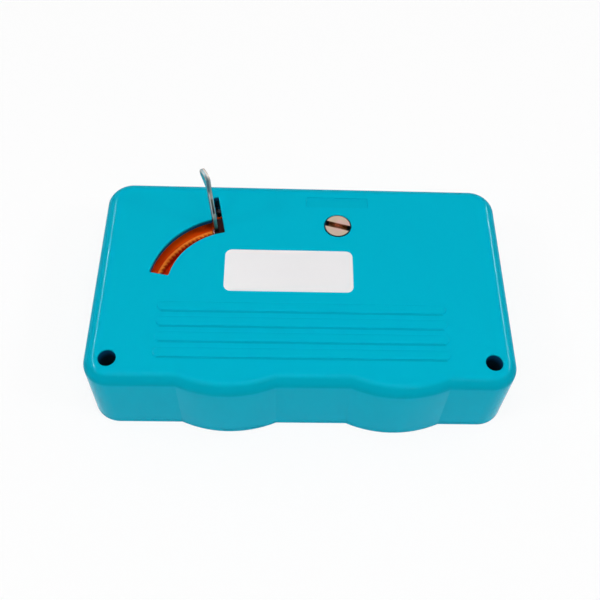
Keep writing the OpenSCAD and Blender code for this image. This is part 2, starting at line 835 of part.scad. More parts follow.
module spring_rod() {
    color([0.75, 0.75, 0.77]) translate([bracket_x - rod_seat, rod_y, rod_z]) rotate([0, 90, 0])
        cylinder(h = takeup_x - link_left + link_t + rod_end - bracket_x + rod_seat, r = rod_r);
}

module return_spring() {
    x0 = bracket_x + wire_r + snug;
    x1 = takeup_x - link_left - wire_r - snug;
    n = coil_turns * coil_steps;
    ring = [for (i = [0:n]) let (t = i / n, a = 360 * coil_turns * t)
        for (k = [0:wire_sides - 1]) let (w = 360 * k / wire_sides, r = coil_r + wire_r * cos(w))
            [x0 + (x1 - x0) * t + wire_r * sin(w), rod_y + r * cos(a), rod_z + r * sin(a)]];
    color([0.7, 0.7, 0.72]) polyhedron(ring, concat(
        [[for (k = [0:wire_sides - 1]) k]],
        [for (i = [0:n - 1], k = [0:wire_sides - 1]) let (b = i * wire_sides, m = (k + 1) % wire_sides)
            [b + k, b + wire_sides + k, b + wire_sides + m, b + m]],
        [[for (k = [wire_sides - 1:-1:0]) n * wire_sides + k]]));
}

top_case();
bottom_cover();
label();
corner_screws();
coin_screw();
screw_retainer();
takeup_axle();
supply_axle();
takeup_hub();
ratchet_wheel();
takeup_tape();
supply_spool();
supply_tape();
brake_washer();
drive_hub();
sector_gear();
lever();
drive_pawl();
drive_pawl_pin();
drive_pawl_spring();
holding_pawl();
holding_pawl_pin();
holding_pawl_spring();
left_guide_roller();
right_guide_roller();
guide_pins();
tape_run();
backing_pad();
pad_carrier();
shutter();
spring_rod();
return_spring();
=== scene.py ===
"""Looks of a fibre optic cleaning cassette, laid out as an add-on: one operator for each piece or group of like pieces,
and one for the stage. Shapes are worked out in millimetres and put into their meshes in metres."""

import math
from types import SimpleNamespace

import bmesh
import bpy
import numpy as np
from mathutils import Matrix, Vector
from mathutils.geometry import tessellate_polygon


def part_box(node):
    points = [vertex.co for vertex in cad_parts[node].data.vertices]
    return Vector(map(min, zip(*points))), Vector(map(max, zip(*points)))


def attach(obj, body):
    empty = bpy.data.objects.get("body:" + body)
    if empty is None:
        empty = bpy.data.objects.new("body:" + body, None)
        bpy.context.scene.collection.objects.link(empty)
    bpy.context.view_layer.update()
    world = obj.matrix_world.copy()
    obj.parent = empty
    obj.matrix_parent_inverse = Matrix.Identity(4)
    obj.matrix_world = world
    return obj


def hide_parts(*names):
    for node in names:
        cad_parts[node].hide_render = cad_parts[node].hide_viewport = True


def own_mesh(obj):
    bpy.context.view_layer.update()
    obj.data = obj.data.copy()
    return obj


bl_info = {
    "name": "Cleaning cassette",
    "version": (1, 0, 0),
    "blender": (4, 5, 0),
    "location": "View3D > Sidebar > Cassette",
    "description": "Builds the looks of a fibre optic cleaning cassette round its packed frame",
    "category": "Object",
}

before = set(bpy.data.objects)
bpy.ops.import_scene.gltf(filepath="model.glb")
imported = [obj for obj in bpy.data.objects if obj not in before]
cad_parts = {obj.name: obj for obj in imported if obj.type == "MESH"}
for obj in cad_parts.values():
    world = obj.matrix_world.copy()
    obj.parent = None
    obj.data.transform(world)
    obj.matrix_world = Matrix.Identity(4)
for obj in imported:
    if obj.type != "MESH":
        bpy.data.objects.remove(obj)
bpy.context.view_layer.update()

MM = 0.001
WHITE = (1.0, 1.0, 1.0, 1.0)
CASE_ROUGHNESS = 0.1
CASE_GLOSS = 0.015
COIN_GAP = 0.2  # room round the coin screw's head
CORNER_N, CREASE_N, BULGE_N, WINDOW_N, RIB_N, ROUND_N, RECESS_N = 20, 6, 44, 60, 16, 64, 96  # steps in an arc


# Settings
class CassetteSizes(bpy.types.PropertyGroup):
    """Sizes that the frame's boxes don't give. Lengths are kept in metres and angles in radians."""

    corner_r: bpy.props.FloatProperty(
        name="Corner radius", default=0.008, unit="LENGTH",
        description="Round of the case's four upright corners, seen from above")
    edge_r: bpy.props.FloatProperty(
        name="Top edge radius", default=0.0034, unit="LENGTH",
        description="Round between the case's walls and its top")
    lean: bpy.props.FloatProperty(
        name="Lean of the walls", default=0.00045, unit="LENGTH",
        description="How far the walls draw in between the bottom and the top edge's round")
    wall: bpy.props.FloatProperty(
        name="Wall", default=0.0022, unit="LENGTH",
        description="Thickness of the case's walls")
    top_t: bpy.props.FloatProperty(
        name="Top", default=0.0018, unit="LENGTH",
        description="Thickness of the case's top")
    bulge_r: bpy.props.FloatProperty(
        name="Bulge radius", default=0.0338, unit="LENGTH",
        description="Radius of both bulges in the front wall, seen from above")
    bulge_shift: bpy.props.FloatProperty(
        name="Left bulge's shift", default=0.0011, unit="LENGTH",
        description="How far the left bulge's centre lies to the left of the take-up axle")
    crease_r: bpy.props.FloatProperty(
        name="Crease radius", default=0.0007, unit="LENGTH",
        description="Round of the crease where a bulge leaves the front wall")
    arc_in: bpy.props.FloatProperty(
        name="Window's inner radius", default=0.0195, unit="LENGTH",
        description="Inner edge of the curved window, from the take-up axle")
    arc_out: bpy.props.FloatProperty(
        name="Window's outer radius", default=0.0251, unit="LENGTH",
        description="Outer edge of the curved window, from the take-up axle")
    arc_start: bpy.props.FloatProperty(
        name="Window's right end", default=math.radians(101.2), subtype="ANGLE",
        description="Where the curved window starts, counted from the right, seen from above")
    arc_end: bpy.props.FloatProperty(
        name="Window's left end", default=math.radians(169.7), subtype="ANGLE",
        description="Where the curved window ends, counted from the right, seen from above")
    slot_out: bpy.props.FloatProperty(
        name="Slot's outer radius", default=0.0331, unit="LENGTH",
        description="End of the narrow slot beside the lever, from the take-up axle")
    slot_w: bpy.props.FloatProperty(
        name="Slot's width", default=0.0016, unit="LENGTH",
        description="Width of the narrow slot beside the lever")
    cut_edge: bpy.props.FloatProperty(
        name="Edge of the window", default=0.00022, unit="LENGTH",
        description="Round along the upper edge of the curved window and its slot")
    hole_r: bpy.props.FloatProperty(
        name="Screw hole", default=0.0024, unit="LENGTH",
        description="Radius of both screw holes in the top")
    rib_l: bpy.props.FloatProperty(
        name="Rib length", default=0.0815, unit="LENGTH",
        description="Length of each raised rib, over its round ends")
    rib_w: bpy.props.FloatProperty(
        name="Rib width", default=0.0028, unit="LENGTH",
        description="Width of each raised rib")
    rib_h: bpy.props.FloatProperty(
        name="Rib height", default=0.0004, unit="LENGTH",
        description="Height of the ribs above the top")
    rib_pitch: bpy.props.FloatProperty(
        name="Rib pitch", default=0.00486, unit="LENGTH",
        description="From the middle of one rib to the middle of the next")
    rib_inset: bpy.props.FloatProperty(
        name="Front wall to the first rib", default=0.00804, unit="LENGTH",
        description="From the front wall to the near edge of the first rib")
    panel_l: bpy.props.FloatProperty(
        name="Panel length", default=0.0188, unit="LENGTH",
        description="Length of the sunk panel")
    panel_w: bpy.props.FloatProperty(
        name="Panel width", default=0.00375, unit="LENGTH",
        description="Width of the sunk panel")
    panel_inset: bpy.props.FloatProperty(
        name="Back edge to the panel", default=0.00735, unit="LENGTH",
        description="From the back wall to the middle of the sunk panel")
    panel_depth: bpy.props.FloatProperty(
        name="Panel depth", default=0.0003, unit="LENGTH",
        description="How far the panel is sunk into the top")
    port_w: bpy.props.FloatProperty(
        name="Cleaning window's width", default=0.011, unit="LENGTH",
        description="Width of each window in the back wall")
    port_h: bpy.props.FloatProperty(
        name="Cleaning window's height", default=0.0084, unit="LENGTH",
        description="Height of each window in the back wall")
    port_x: bpy.props.FloatProperty(
        name="Cleaning window's place", default=0.014, unit="LENGTH",
        description="From the middle of the case to the middle of each window in the back wall")
    lever_rest: bpy.props.FloatProperty(
        name="Lever's angle", default=math.radians(107.0), subtype="ANGLE",
        description="Direction of the lever's arm at rest, counted from the right, seen from above")
    lever_lean: bpy.props.FloatProperty(
        name="Lever's lean", default=math.radians(2.5), subtype="ANGLE",
        description="How far the finger tab leans over from upright")
    neck_in: bpy.props.FloatProperty(
        name="Neck's front edge", default=0.0218, unit="LENGTH",
        description="Near edge of the finger tab's neck, from the take-up axle")
    neck_out: bpy.props.FloatProperty(
        name="Neck's back edge", default=0.023, unit="LENGTH",
        description="Far edge of the finger tab's neck, from the take-up axle")
    tab_out: bpy.props.FloatProperty(
        name="Finger tab's back edge", default=0.0262, unit="LENGTH",
        description="Far edge of the finger tab, from the take-up axle")
    tab_h: bpy.props.FloatProperty(
        name="Finger tab's height", default=0.0056, unit="LENGTH",
        description="Height of the wide part of the finger tab")
    tab_r: bpy.props.FloatProperty(
        name="Finger tab's corners", default=0.0017, unit="LENGTH",
        description="Round of the finger tab's upper corners")
    tab_front: bpy.props.FloatProperty(
        name="Finger tab past the neck", default=0.0003, unit="LENGTH",
        description="How far the tab's round comes forward of its neck")
    tab_turn: bpy.props.FloatProperty(
        name="Turn of the finger tab", default=math.radians(12.0), subtype="ANGLE",
        description="How far the finger tab is turned about its upright edge, away from the arm")
    arm_w: bpy.props.FloatProperty(
        name="Arm's width", default=0.006, unit="LENGTH",
        description="Width of the lever's flat arm")
    arm_toe: bpy.props.FloatProperty(
        name="Arm's toe", default=0.0011, unit="LENGTH",
        description="How far the arm's toe reaches past the curved window, below the top")
    label_r: bpy.props.FloatProperty(
        name="Label's corners", default=0.002, unit="LENGTH",
        description="Round of the label's corners")
    coin_slot: bpy.props.FloatProperty(
        name="Coin screw's slot", default=0.0015, unit="LENGTH",
        description="Width of the slot in the coin screw")
    coin_turn: bpy.props.FloatProperty(
        name="Slot's direction", default=math.radians(-15.0), subtype="ANGLE",
        description="Direction of the coin screw's slot, counted from the right, seen from above")
    wire_r: bpy.props.FloatProperty(
        name="Spring wire's radius", default=0.00025, unit="LENGTH",
        description="Radius of the return spring's wire")
    coil_turns: bpy.props.IntProperty(
        name="Spring's turns", default=12, min=1,
        description="How often the return spring's wire goes round")
    shutter_travel: bpy.props.FloatProperty(
        name="Shutter's travel", default=0.0125, unit="LENGTH",
        description="How far the shutter shortens the return spring at its limit")


class CassetteColours(bpy.types.PropertyGroup):
    """Colours as linear red, green and blue."""

    case: bpy.props.FloatVectorProperty(
        name="Case", default=(0.0, 0.435, 0.6), subtype="COLOR", min=0.0, max=1.0,
        description="Colour of the case and its cover")
    wheel: bpy.props.FloatVectorProperty(
        name="Wheel", default=(1.0, 0.1, 0.0), subtype="COLOR", min=0.0, max=1.0,
        description="Colour of the ratchet wheel's flange")
    label: bpy.props.FloatVectorProperty(
        name="Label", default=(0.8, 0.79, 0.8), subtype="COLOR", min=0.0, max=1.0,
        description="Colour of the label's film")
    steel: bpy.props.FloatVectorProperty(
        name="Steel", default=(0.6, 0.58, 0.55), subtype="COLOR", min=0.0, max=1.0,
        description="Colour of the lever's steel")
    zinc: bpy.props.FloatVectorProperty(
        name="Yellow zinc", default=(0.52, 0.345, 0.315), subtype="COLOR", min=0.0, max=1.0,
        description="Colour of the coin screw")
    white: bpy.props.FloatVectorProperty(
        name="White plastic", default=(0.8, 0.8, 0.77), subtype="COLOR", min=0.0, max=1.0,
        description="Colour of the reels, the rollers and the pad's carrier")
    black: bpy.props.FloatVectorProperty(
        name="Black plastic", default=(0.012, 0.012, 0.013), subtype="COLOR", min=0.0, max=1.0,
        description="Colour of the lever's hub")
    floor: bpy.props.FloatVectorProperty(
        name="Floor", default=(0.88, 0.88, 0.88), subtype="COLOR", min=0.0, max=1.0,
        description="Colour of the floor that the object stands on")


def in_mm(group):
    """The group's settings with lengths in millimetres, angles in degrees and counts as they are."""
    values = SimpleNamespace()
    for name in group.__annotations__:
        value, unit = getattr(group, name), group.bl_rna.properties[name].unit
        if unit == "LENGTH":
            value = value / MM
        elif unit == "ROTATION":
            value = math.degrees(value)
        setattr(values, name, value)
    return values


def box_mm(node):
    """A node's lowest and highest corners at rest, in millimetres."""
    low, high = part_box(node)
    return np.array(low) / MM, np.array(high) / MM


def middle(node):
    """Halfway between a node's lowest and highest corners, in millimetres."""
    low, high = box_mm(node)
    return (low + high) / 2


# Outlines
def polar(r, a):
    """The point (r cos a, r sin a), with a in degrees."""
    return r * np.array([math.cos(math.radians(a)), math.sin(math.radians(a))])


def arc(c, r, a0, a1, n):
    """The n + 1 points c + r (cos a, sin a), with a in even steps from a0 to a1 in degrees."""
    a = np.radians(np.linspace(a0, a1, n + 1))
    return np.c_[c[0] + r * np.cos(a), c[1] + r * np.sin(a)]


def circle(r, c=(0, 0), n=ROUND_N):
    """A closed arc of n points."""
    return arc(c, r, 0, 360, n)[:-1]


def corner(p, t_in, t_out, r, n=6):
    """A round of radius r at the corner p between the unit directions t_in and t_out: an arc about the point that lies
    r tan(turn / 2) back along t_in, and r to the side that the outline turns to."""
    p, t_in, t_out = (np.asarray(x, float) for x in (p, t_in, t_out))
    turn = math.atan2(t_in[0] * t_out[1] - t_in[1] * t_out[0], float(t_in @ t_out))
    side = np.array([-t_in[1], t_in[0]]) * math.copysign(1, turn)
    centre = p - r * math.tan(abs(turn) / 2) * t_in + r * side
    start = math.degrees(math.atan2(-side[1], -side[0]))
    return arc(centre, r, start, start + math.degrees(turn), n)


def rounded(corners, radii, n=6):
    """A closed outline of straight sides, with a round of its own radius at each corner."""
    corners = np.array(corners, float)
    sides = np.roll(corners, -1, 0) - corners
    sides /= np.linalg.norm(sides, axis=1)[:, None]
    rounds = zip(corners, np.roll(sides, 1, 0), sides, radii)
    return np.concatenate([corner(p, t_in, t_out, r, n) for p, t_in, t_out, r in rounds])


def round_rect(l, w, r, c=(0, 0), n=6):
    """A rectangle of l by w about c, with rounds of radius r."""
    x, y = l / 2, w / 2
    return rounded([(x, -y), (x, y), (-x, y), (-x, -y)], [r] * 4, n) + np.asarray(c)


def offset(loop, d):
    """The outline moved by d along its normals, out where d is positive. A point's normal stands square on the line
    between its two neighbours, and the sign of the enclosed area tells which side is out."""
    if not d:
        return loop
    t = np.roll(loop, -1, 0) - np.roll(loop, 1, 0)
    t /= np.linalg.norm(t, axis=1)[:, None]
    area = np.sum(loop[:, 0] * np.roll(loop[:, 1], -1) - loop[:, 1] * np.roll(loop[:, 0], -1))
    return loop + np.c_[t[:, 1], -t[:, 0]] * d * math.copysign(1, area)


def lift(loop, z):
    """The outline at the height z."""
    return np.c_[loop, np.full(len(loop), z)]


def fillet(r, steps):
    """Pairs (r (1 - sin a), r (1 - cos a)) of a quarter round, with a in even steps from 0 to 90 degrees: how far out
    of a hole's wall and how far below its rim each point lies."""
    a = np.linspace(0, math.pi / 2, steps + 1)
    return np.c_[r * (1 - np.sin(a)), r * (1 - np.cos(a))]


# Meshes
class Mesh:
    """Collects rings of points in millimetres, and the faces between them."""

    def __init__(self):
        self.points, self.faces, self.count = [], [], 0

    def ring(self, points):
        """Adds points and gives their numbers."""
        self.points.append(np.asarray(points, float))
        self.count += len(points)
        return np.arange(self.count - len(points), self.count)

    def band(self, a, b, skip=()):
        """Four-sided faces between two closed rings: points i and i + 1 of a with i + 1 and i of b, for every i that
        isn't skipped."""
        quads = np.stack([a, np.roll(a, -1), np.roll(b, -1), b], 1)
        self.faces.append(np.delete(quads, np.array(skip, int), 0))

    def bands(self, rings):
        """Adds rings and joins each with the next."""
        ids = [self.ring(r) for r in rings]
        for a, b in zip(ids, ids[1:]):
            self.band(a, b)
        return ids

    def sweep(self, loop, profile, place=None):
        """Carries a profile of pairs (out, height) round an outline, whose plane the matrix place turns and moves."""
        rings = [lift(offset(loop, out), z) for out, z in profile]
        if place is not None:
            m = np.array(place)
            rings = [ring @ m[:3, :3].T + m[:3, 3] for ring in rings]
        return self.bands(rings)

    def revolve(self, c, profile, n=ROUND_N):
        """Turns a profile of pairs (radius, height) about the upright axis through c, in n steps."""
        return self.bands([lift(circle(r, c, n), z) for r, z in profile])

    def fill(self, loops, towards):
        """Fills the first loop less the others with triangles. A triangle whose normal, the cross product of two of
        its sides, points away from the given direction is turned over."""
        numbers = np.concatenate(loops)
        at = np.concatenate(self.points)[numbers]
        parts = np.split(at, np.cumsum([len(loop) for loop in loops])[:-1])
        triangles = np.array(tessellate_polygon([part.tolist() for part in parts]))
        a, b, c = at[triangles].transpose(1, 0, 2)
        away = np.cross(b - a, c - a) @ np.asarray(towards, float) < 0
        triangles[away] = triangles[away][:, ::-1]
        self.faces.append(numbers[triangles])

    def close(self, ids, towards=(0, 0, 1)):
        """Fills the last ring towards the given direction, and the first ring the other way."""
        self.fill([ids[0]], np.negative(towards))
        self.fill([ids[-1]], towards)

    def bar(self, c, r, z0, z1):
        """A closed upright round bar with chamfered ends."""
        edge = 0.2
        self.close(self.revolve(c, ((r - edge, z0), (r, z0 + edge), (r, z1 - edge), (r - edge, z1)), 48))

    def box(self, low, high):
        """A closed block with small rounds along its upright edges."""
        (x0, y0, z0), (x1, y1, z1) = low, high
        loop = round_rect(x1 - x0, y1 - y0, 0.15, ((x0 + x1) / 2, (y0 + y1) / 2), 2)
        self.close(self.bands([lift(loop, z0), lift(loop, z1)]))

    def plate(self, loop, place, t, edge):
        """A flat sheet of thickness t whose middle plane is turned and moved by place. Its edges are quarter rounds:
        the outline moves in by edge (1 - sin a) at the height t / 2 - edge (1 - cos a), and the same below."""
        above = [(-out, t / 2 - down) for out, down in fillet(edge, 4)]
        below = [(out, -z) for out, z in above]
        self.close(self.sweep(loop, below + above[::-1], place), np.array(place)[:3, 2])

    def object(self, name, sharp=35):
        """The finished object. Points that meet are joined, faces look outwards, and edges that bend by more than
        sharp degrees stay sharp."""
        mesh = bpy.data.meshes.new(name)
        faces = [face for block in self.faces for face in block.tolist()]
        mesh.from_pydata((np.concatenate(self.points) * MM).tolist(), [], faces)
        mesh.validate()
        bm = bmesh.new()
        bm.from_mesh(mesh)
        bmesh.ops.remove_doubles(bm, verts=bm.verts, dist=1e-4 * MM)
        bmesh.ops.recalc_face_normals(bm, faces=bm.faces)
        bm.to_mesh(mesh)
        bm.free()
        mesh.shade_smooth()
        mesh.set_sharp_from_angle(angle=math.radians(sharp))
        obj = bpy.data.objects.new(name, mesh)
        bpy.context.scene.collection.objects.link(obj)
        weigh_normals(obj)
        return obj


def weigh_normals(obj):
    """Shades an object's flat faces flat and its small rounds smooth."""
    weighted = obj.modifiers.new("Weighted normals", "WEIGHTED_NORMAL")
    weighted.keep_sharp = True
    weighted.weight = 100


# Shader maths
def feed(tree, socket, value):
    """Links a socket to a value that is worked out in the shader, or sets it to a number or colour."""
    if isinstance(value, S):
        tree.links.new(value.socket, socket)
    else:
        socket.default_value = value


def add(tree, kind, settings=None, sockets=None, out=0):
    """Adds a node of a kind, makes its settings and feeds its sockets, each by name or number. Gives the output that
    out names, or the list of all outputs where out is None."""
    node = tree.nodes.new(kind)
    for key, value in (settings or {}).items():
        setattr(node, key, value)
    for key, value in (sockets or {}).items():
        feed(tree, node.inputs[key], value)
    return [S(tree, socket) for socket in node.outputs] if out is None else S(tree, node.outputs[out])


class S:
    """A socket with arithmetic, so that a material reads as a formula."""

    def __init__(self, tree, socket):
        self.tree, self.socket = tree, socket

    def math(self, operation, *terms):
        """One Math node's result on the given terms."""
        return add(self.tree, "ShaderNodeMath", {"operation": operation}, dict(enumerate(terms)))

    def __add__(self, o):
        return self.math("ADD", self, o)

    def __sub__(self, o):
        return self.math("SUBTRACT", self, o)

    def __rsub__(self, o):
        return self.math("SUBTRACT", o, self)

    def __mul__(self, o):
        return self.math("MULTIPLY", self, o)

    __radd__, __rmul__ = __add__, __mul__

    def __mod__(self, o):
        return self.math("FLOORED_MODULO", self, o)

    def __rmod__(self, o):
        return self.math("FLOORED_MODULO", o, self)

    def __abs__(self):
        return self.math("ABSOLUTE", self)

    def root(self):
        """Square root."""
        return self.math("SQRT", self)

    def wave(self):
        """Sine."""
        return self.math("SINE", self)

    def least(self, o):
        """The smaller of the two."""
        return self.math("MINIMUM", self, o)

    def most(self, o):
        """The greater of the two."""
        return self.math("MAXIMUM", self, o)

    def step(self, low, high):
        """0 below low, 1 above high, smooth between."""
        return add(self.tree, "ShaderNodeMapRange", {"interpolation_type": "SMOOTHSTEP"},
                   {"Value": self, "From Min": low, "From Max": high}, "Result")

    def between(self, low, high, soft):
        """1 between low and high, 0 outside, over a border of the given width."""
        return self.step(low - soft / 2, low + soft / 2) * (1 - self.step(high - soft / 2, high + soft / 2))


def shade(colour, k):
    """A colour k times as bright."""
    return tuple(min(1.0, c * k) for c in colour)


class Look:
    """One material: a Principled shader with procedural detail on object coordinates."""

    def __init__(self, name, colour, roughness, metallic=0.0, gloss=0.5):
        self.mat = bpy.data.materials.new(name)
        self.mat.use_nodes = True
        self.tree = self.mat.node_tree
        self.shader = self.tree.nodes["Principled BSDF"]
        self.colour = colour
        self.coord = add(self.tree, "ShaderNodeTexCoord", out="Object")
        for socket, value in (("Base Color", (*colour, 1)), ("Roughness", roughness), ("Metallic", metallic),
                              ("Specular IOR Level", gloss)):
            self.set(socket, value)

    def set(self, name, value):
        """Feeds an input of the shader."""
        feed(self.tree, self.shader.inputs[name], value)

    def noise(self, scale, detail):
        """Smooth noise from 0 to 1, with scale spots to the metre."""
        return add(self.tree, "ShaderNodeTexNoise", sockets={"Vector": self.coord, "Scale": scale, "Detail": detail},
                   out="Fac")

    def split(self, vector):
        """The three parts of a vector."""
        return add(self.tree, "ShaderNodeSeparateXYZ", sockets={0: vector}, out=None)

    def axes(self):
        """Object coordinates in millimetres."""
        return [part * (1 / MM) for part in self.split(self.coord)]

    def sheet(self):
        """Place on a bent sheet in millimetres, from its attribute: along it, up it and across its thickness."""
        return self.split(add(self.tree, "ShaderNodeAttribute", {"attribute_name": "sheet"}, out="Vector"))

    def far(self, centre):
        """Distance from an upright axis, in millimetres."""
        x, y, _ = self.axes()
        x, y = x - float(centre[0]), y - float(centre[1])
        return (x * x + y * y).root()

    def mix(self, factor, a, b):
        """Colour a where the factor is 0, b where it is 1."""
        a, b = (value if isinstance(value, S) else (*value, 1) for value in (a, b))
        return add(self.tree, "ShaderNodeMix", {"data_type": "RGBA"}, {0: factor, 6: a, 7: b}, 2)

    def mottled(self, scale, detail, low, high):
        """The look's own colour, from low to high times as bright."""
        return self.mix(self.noise(scale, detail), shade(self.colour, low), shade(self.colour, high))

    def bump(self, height, distance):
        """Shades the surface as if it rose by the distance, in metres, where the height is 1."""
        self.set("Normal", add(self.tree, "ShaderNodeBump", sockets={"Distance": distance, "Height": height}))


def plastic(name, colour, roughness, gloss=0.5):
    """Moulded plastic: a fine noise raises the surface a little and varies its roughness."""
    look = Look(name, colour, roughness, gloss=gloss)
    fine = look.noise(900, 2)
    look.set("Roughness", fine * 0.06 + (roughness - 0.03))
    look.bump(fine, 0.000004)
    return look


def metal(name, colour, roughness):
    """Metal with fine marks of use, a noise that raises the surface a little and varies its roughness."""
    look = Look(name, colour, roughness, 1.0)
    marks = look.noise(400, 3)
    look.set("Roughness", marks * 0.16 + (roughness - 0.08))
    look.bump(marks, 0.000006)
    return look


def plain_plastic(*args, **options):
    """Plastic of one colour, hardly mottled."""
    look = plastic(*args, **options)
    look.set("Base Color", look.mottled(30, 2, 0.985, 1.015))
    return look


def plain_metal(*args):
    """Metal of one colour, a little mottled."""
    look = metal(*args)
    look.set("Base Color", look.mottled(60, 3, 0.9, 1.08))
    return look


def dress(node, look, edge=0.0):
    """Gives a CAD node its material, and small rounds along its sharp edges."""
    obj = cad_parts[node]
    obj.data.materials.clear()
    obj.data.materials.append(look.mat)
    if edge:
        bevel = obj.modifiers.new("Edges", "BEVEL")
        bevel.width = edge * MM
        bevel.segments = 2
        bevel.limit_method = "ANGLE"
        bevel.angle_limit = math.radians(40)
        bevel.harden_normals = False
    weigh_normals(obj)


def finish_piece(obj, look, body, node):
    """Gives a new piece its material and body, and lets it stand for a CAD node."""
    obj.data.materials.append(look.mat)
    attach(obj, body)
    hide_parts(node)
    return obj


# The case
class CaseTop:
    """The top half of the case as one closed mesh. Each cut through the top leaves its upper ring in tops and its
    lower ring in ceilings, and two fills close what is left of both faces."""

    def __init__(self, s):
        self.s = s
        high = box_mm("bottom_cover")[1]
        self.half_x, self.back, self.front = high[0], high[1], -high[1]
        self.seam = box_mm("top_case")[0][2]
        self.top = box_mm("coin_screw")[1][2]
        self.ceiling = self.top - s.top_t
        self.wall_top = self.top - s.edge_r
        self.inner = s.lean + s.wall
        self.takeup = middle("takeup_axle")[:2]
        self.supply = middle("supply_axle")[:2]
        self.mesh, self.tops, self.ceilings = Mesh(), [], []

    def outline(self, inset):
        """The plan drawn in by inset: rounds at the corners, and in the front wall an arc about each bulge's centre
        between two soft creases. Also gives the number of the point where the back wall starts."""
        s = self.s
        x, y0, y1, r = self.half_x - inset, self.front + inset, self.back - inset, s.corner_r - inset
        big, crease = s.bulge_r - inset, s.crease_r + inset
        out = [arc((-x + r, y0 + r), r, 180, 270, CORNER_N)]
        for c in (self.takeup - (s.bulge_shift, 0), self.supply):
            y = y0 - crease
            dx = math.sqrt((big + crease) ** 2 - (c[1] - y) ** 2)
            a = math.degrees(math.atan2(c[1] - y, dx))
            out += [arc((c[0] - dx, y), crease, 90, a, CREASE_N),
                    arc(c, big, 180 + a, 360 - a, BULGE_N)[1:-1],
                    arc((c[0] + dx, y), crease, 180 - a, 90, CREASE_N)]
        out += [arc((x - r, y0 + r), r, 270, 360, CORNER_N), arc((x - r, y1 - r), r, 0, 90, CORNER_N)]
        back_side = sum(map(len, out)) - 1
        out.append(arc((-x + r, y1 - r), r, 90, 180, CORNER_N))
        return np.concatenate(out), back_side

    def shell(self, levels, holed, towards, port_rings):
        """Rings of the plan at pairs (inset, height), joined by bands. In band number holed the flat back side is
        left out and filled round the cleaning windows."""
        back_side = self.outline(0)[1]
        ids = [self.mesh.ring(lift(self.outline(inset)[0], z)) for inset, z in levels]
        for i, (a, b) in enumerate(zip(ids, ids[1:])):
            self.mesh.band(a, b, [back_side] if i == holed else [])
        low, high = (np.take(ids[holed + i], (back_side, back_side + 1), mode="wrap") for i in (0, 1))
        self.mesh.fill([np.r_[low, high[::-1]], *port_rings], towards)
        return ids

    def port(self, side):
        """A cleaning window through the leaning back wall, at the tape's height, with a rounded outer edge. Gives its
        first and last ring, outside and inside."""
        s, corner_r = self.s, 1.0
        hole = round_rect(s.port_w, s.port_h, corner_r, (side * s.port_x, middle("tape_run")[2]), 8)
        profile = ((0.3, 0.0), (0.15, 0.045), (0.05, 0.13), (0.0, 0.3))  # out and deep
        rings = []
        for out, deep in profile:
            x, z = offset(hole, out).T
            rings.append(np.c_[x, self.back - s.lean * z / self.wall_top - deep, z])
        rings.append(np.insert(hole, 1, self.back - self.inner, 1))
        ids = self.mesh.bands(rings)
        return ids[0], ids[-1]

    def cut(self, loop, floor, edge):
        """A hole through the top: its rounded edge and its wall down to the floor. Gives the wall's last ring."""
        profile = [(out, self.top - down) for out, down in fillet(edge, 3)]
        ids = self.mesh.sweep(loop, [*profile, (0, floor)])
        self.tops.append(ids[0])
        return ids[-1]

    def window(self):
        """The curved window between two radii and two angles about the take-up axle, with the narrow slot that goes
        on outwards beside the lever."""
        s, a, r = self.s, self.takeup, 0.35
        inner_end = s.arc_start + math.degrees(math.asin(s.slot_w / s.arc_out))
        right, left, slot = (polar(1, angle) for angle in (s.arc_start, s.arc_end, inner_end))
        right_n, left_n, slot_n = (np.array([-u[1], u[0]]) for u in (right, left, slot))
        trim_in, trim_out = (math.degrees(r / q) for q in (s.arc_in, s.arc_out))
        loop = np.concatenate([
            corner(a + s.arc_in * left, -left, -left_n, r),
            arc(a, s.arc_in, s.arc_end - trim_in, s.arc_start + trim_in, WINDOW_N)[1:-1],
            corner(a + s.arc_in * right, -right_n, right, r),
            corner(a + s.slot_out * right, right, right_n, r),
            corner(a + s.slot_out * right + s.slot_w * right_n, right_n, -right, r),
            corner(a + s.arc_out * slot, -right, slot_n, r),
            arc(a, s.arc_out, inner_end + trim_out, s.arc_end - trim_out, WINDOW_N)[1:-1],
            corner(a + s.arc_out * left, left_n, -left, r),
        ])
        self.ceilings.append(self.cut(loop, self.ceiling, s.cut_edge))

    def bored_post(self, c, bore, foot, neck, wall, n=ROUND_N):
        """A round post under a cut, whose own last ring is wall. The profile goes in to the bore, which is a pair
        (radius, height), down to the foot, out to the post's side, up to the neck, in again and to the ceiling."""
        post_r, neck_r = 5.2, 3.2
        seat = self.mesh.revolve(c, (bore, (bore[0], foot), (post_r, foot), (post_r, neck), (neck_r, neck),
                                     (neck_r, self.ceiling)), n)
        self.mesh.band(wall, seat[0])
        self.ceilings.append(seat[-1])

    def screw_holes(self):
        """The two deep screw holes, each in its post."""
        low, high = box_mm("corner_screws")
        head_r, head_low, shank_r = (high[1] - low[1]) / 2, high[2] - 1.6, 1.4
        for x in (low[0] + head_r, high[0] - head_r):
            c = (x, (low[1] + high[1]) / 2)
            wall = self.cut(circle(self.s.hole_r, c), head_low, 0.3)
            self.bored_post(c, (shank_r, head_low), head_low - 2, self.ceiling + 0.8, wall)

    def coin_recess(self):
        """The coin screw's recess and its boss."""
        low, high = box_mm("coin_screw")
        c, seat, shank_r, boss_foot = ((low + high) / 2)[:2], self.top - 1.5, 2.06, 11.5
        wall = self.cut(circle((high[0] - low[0]) / 2 + COIN_GAP, c, RECESS_N), seat, 0.15)
        self.bored_post(c, (shank_r, seat), boss_foot, seat - 0.1, wall, RECESS_N)

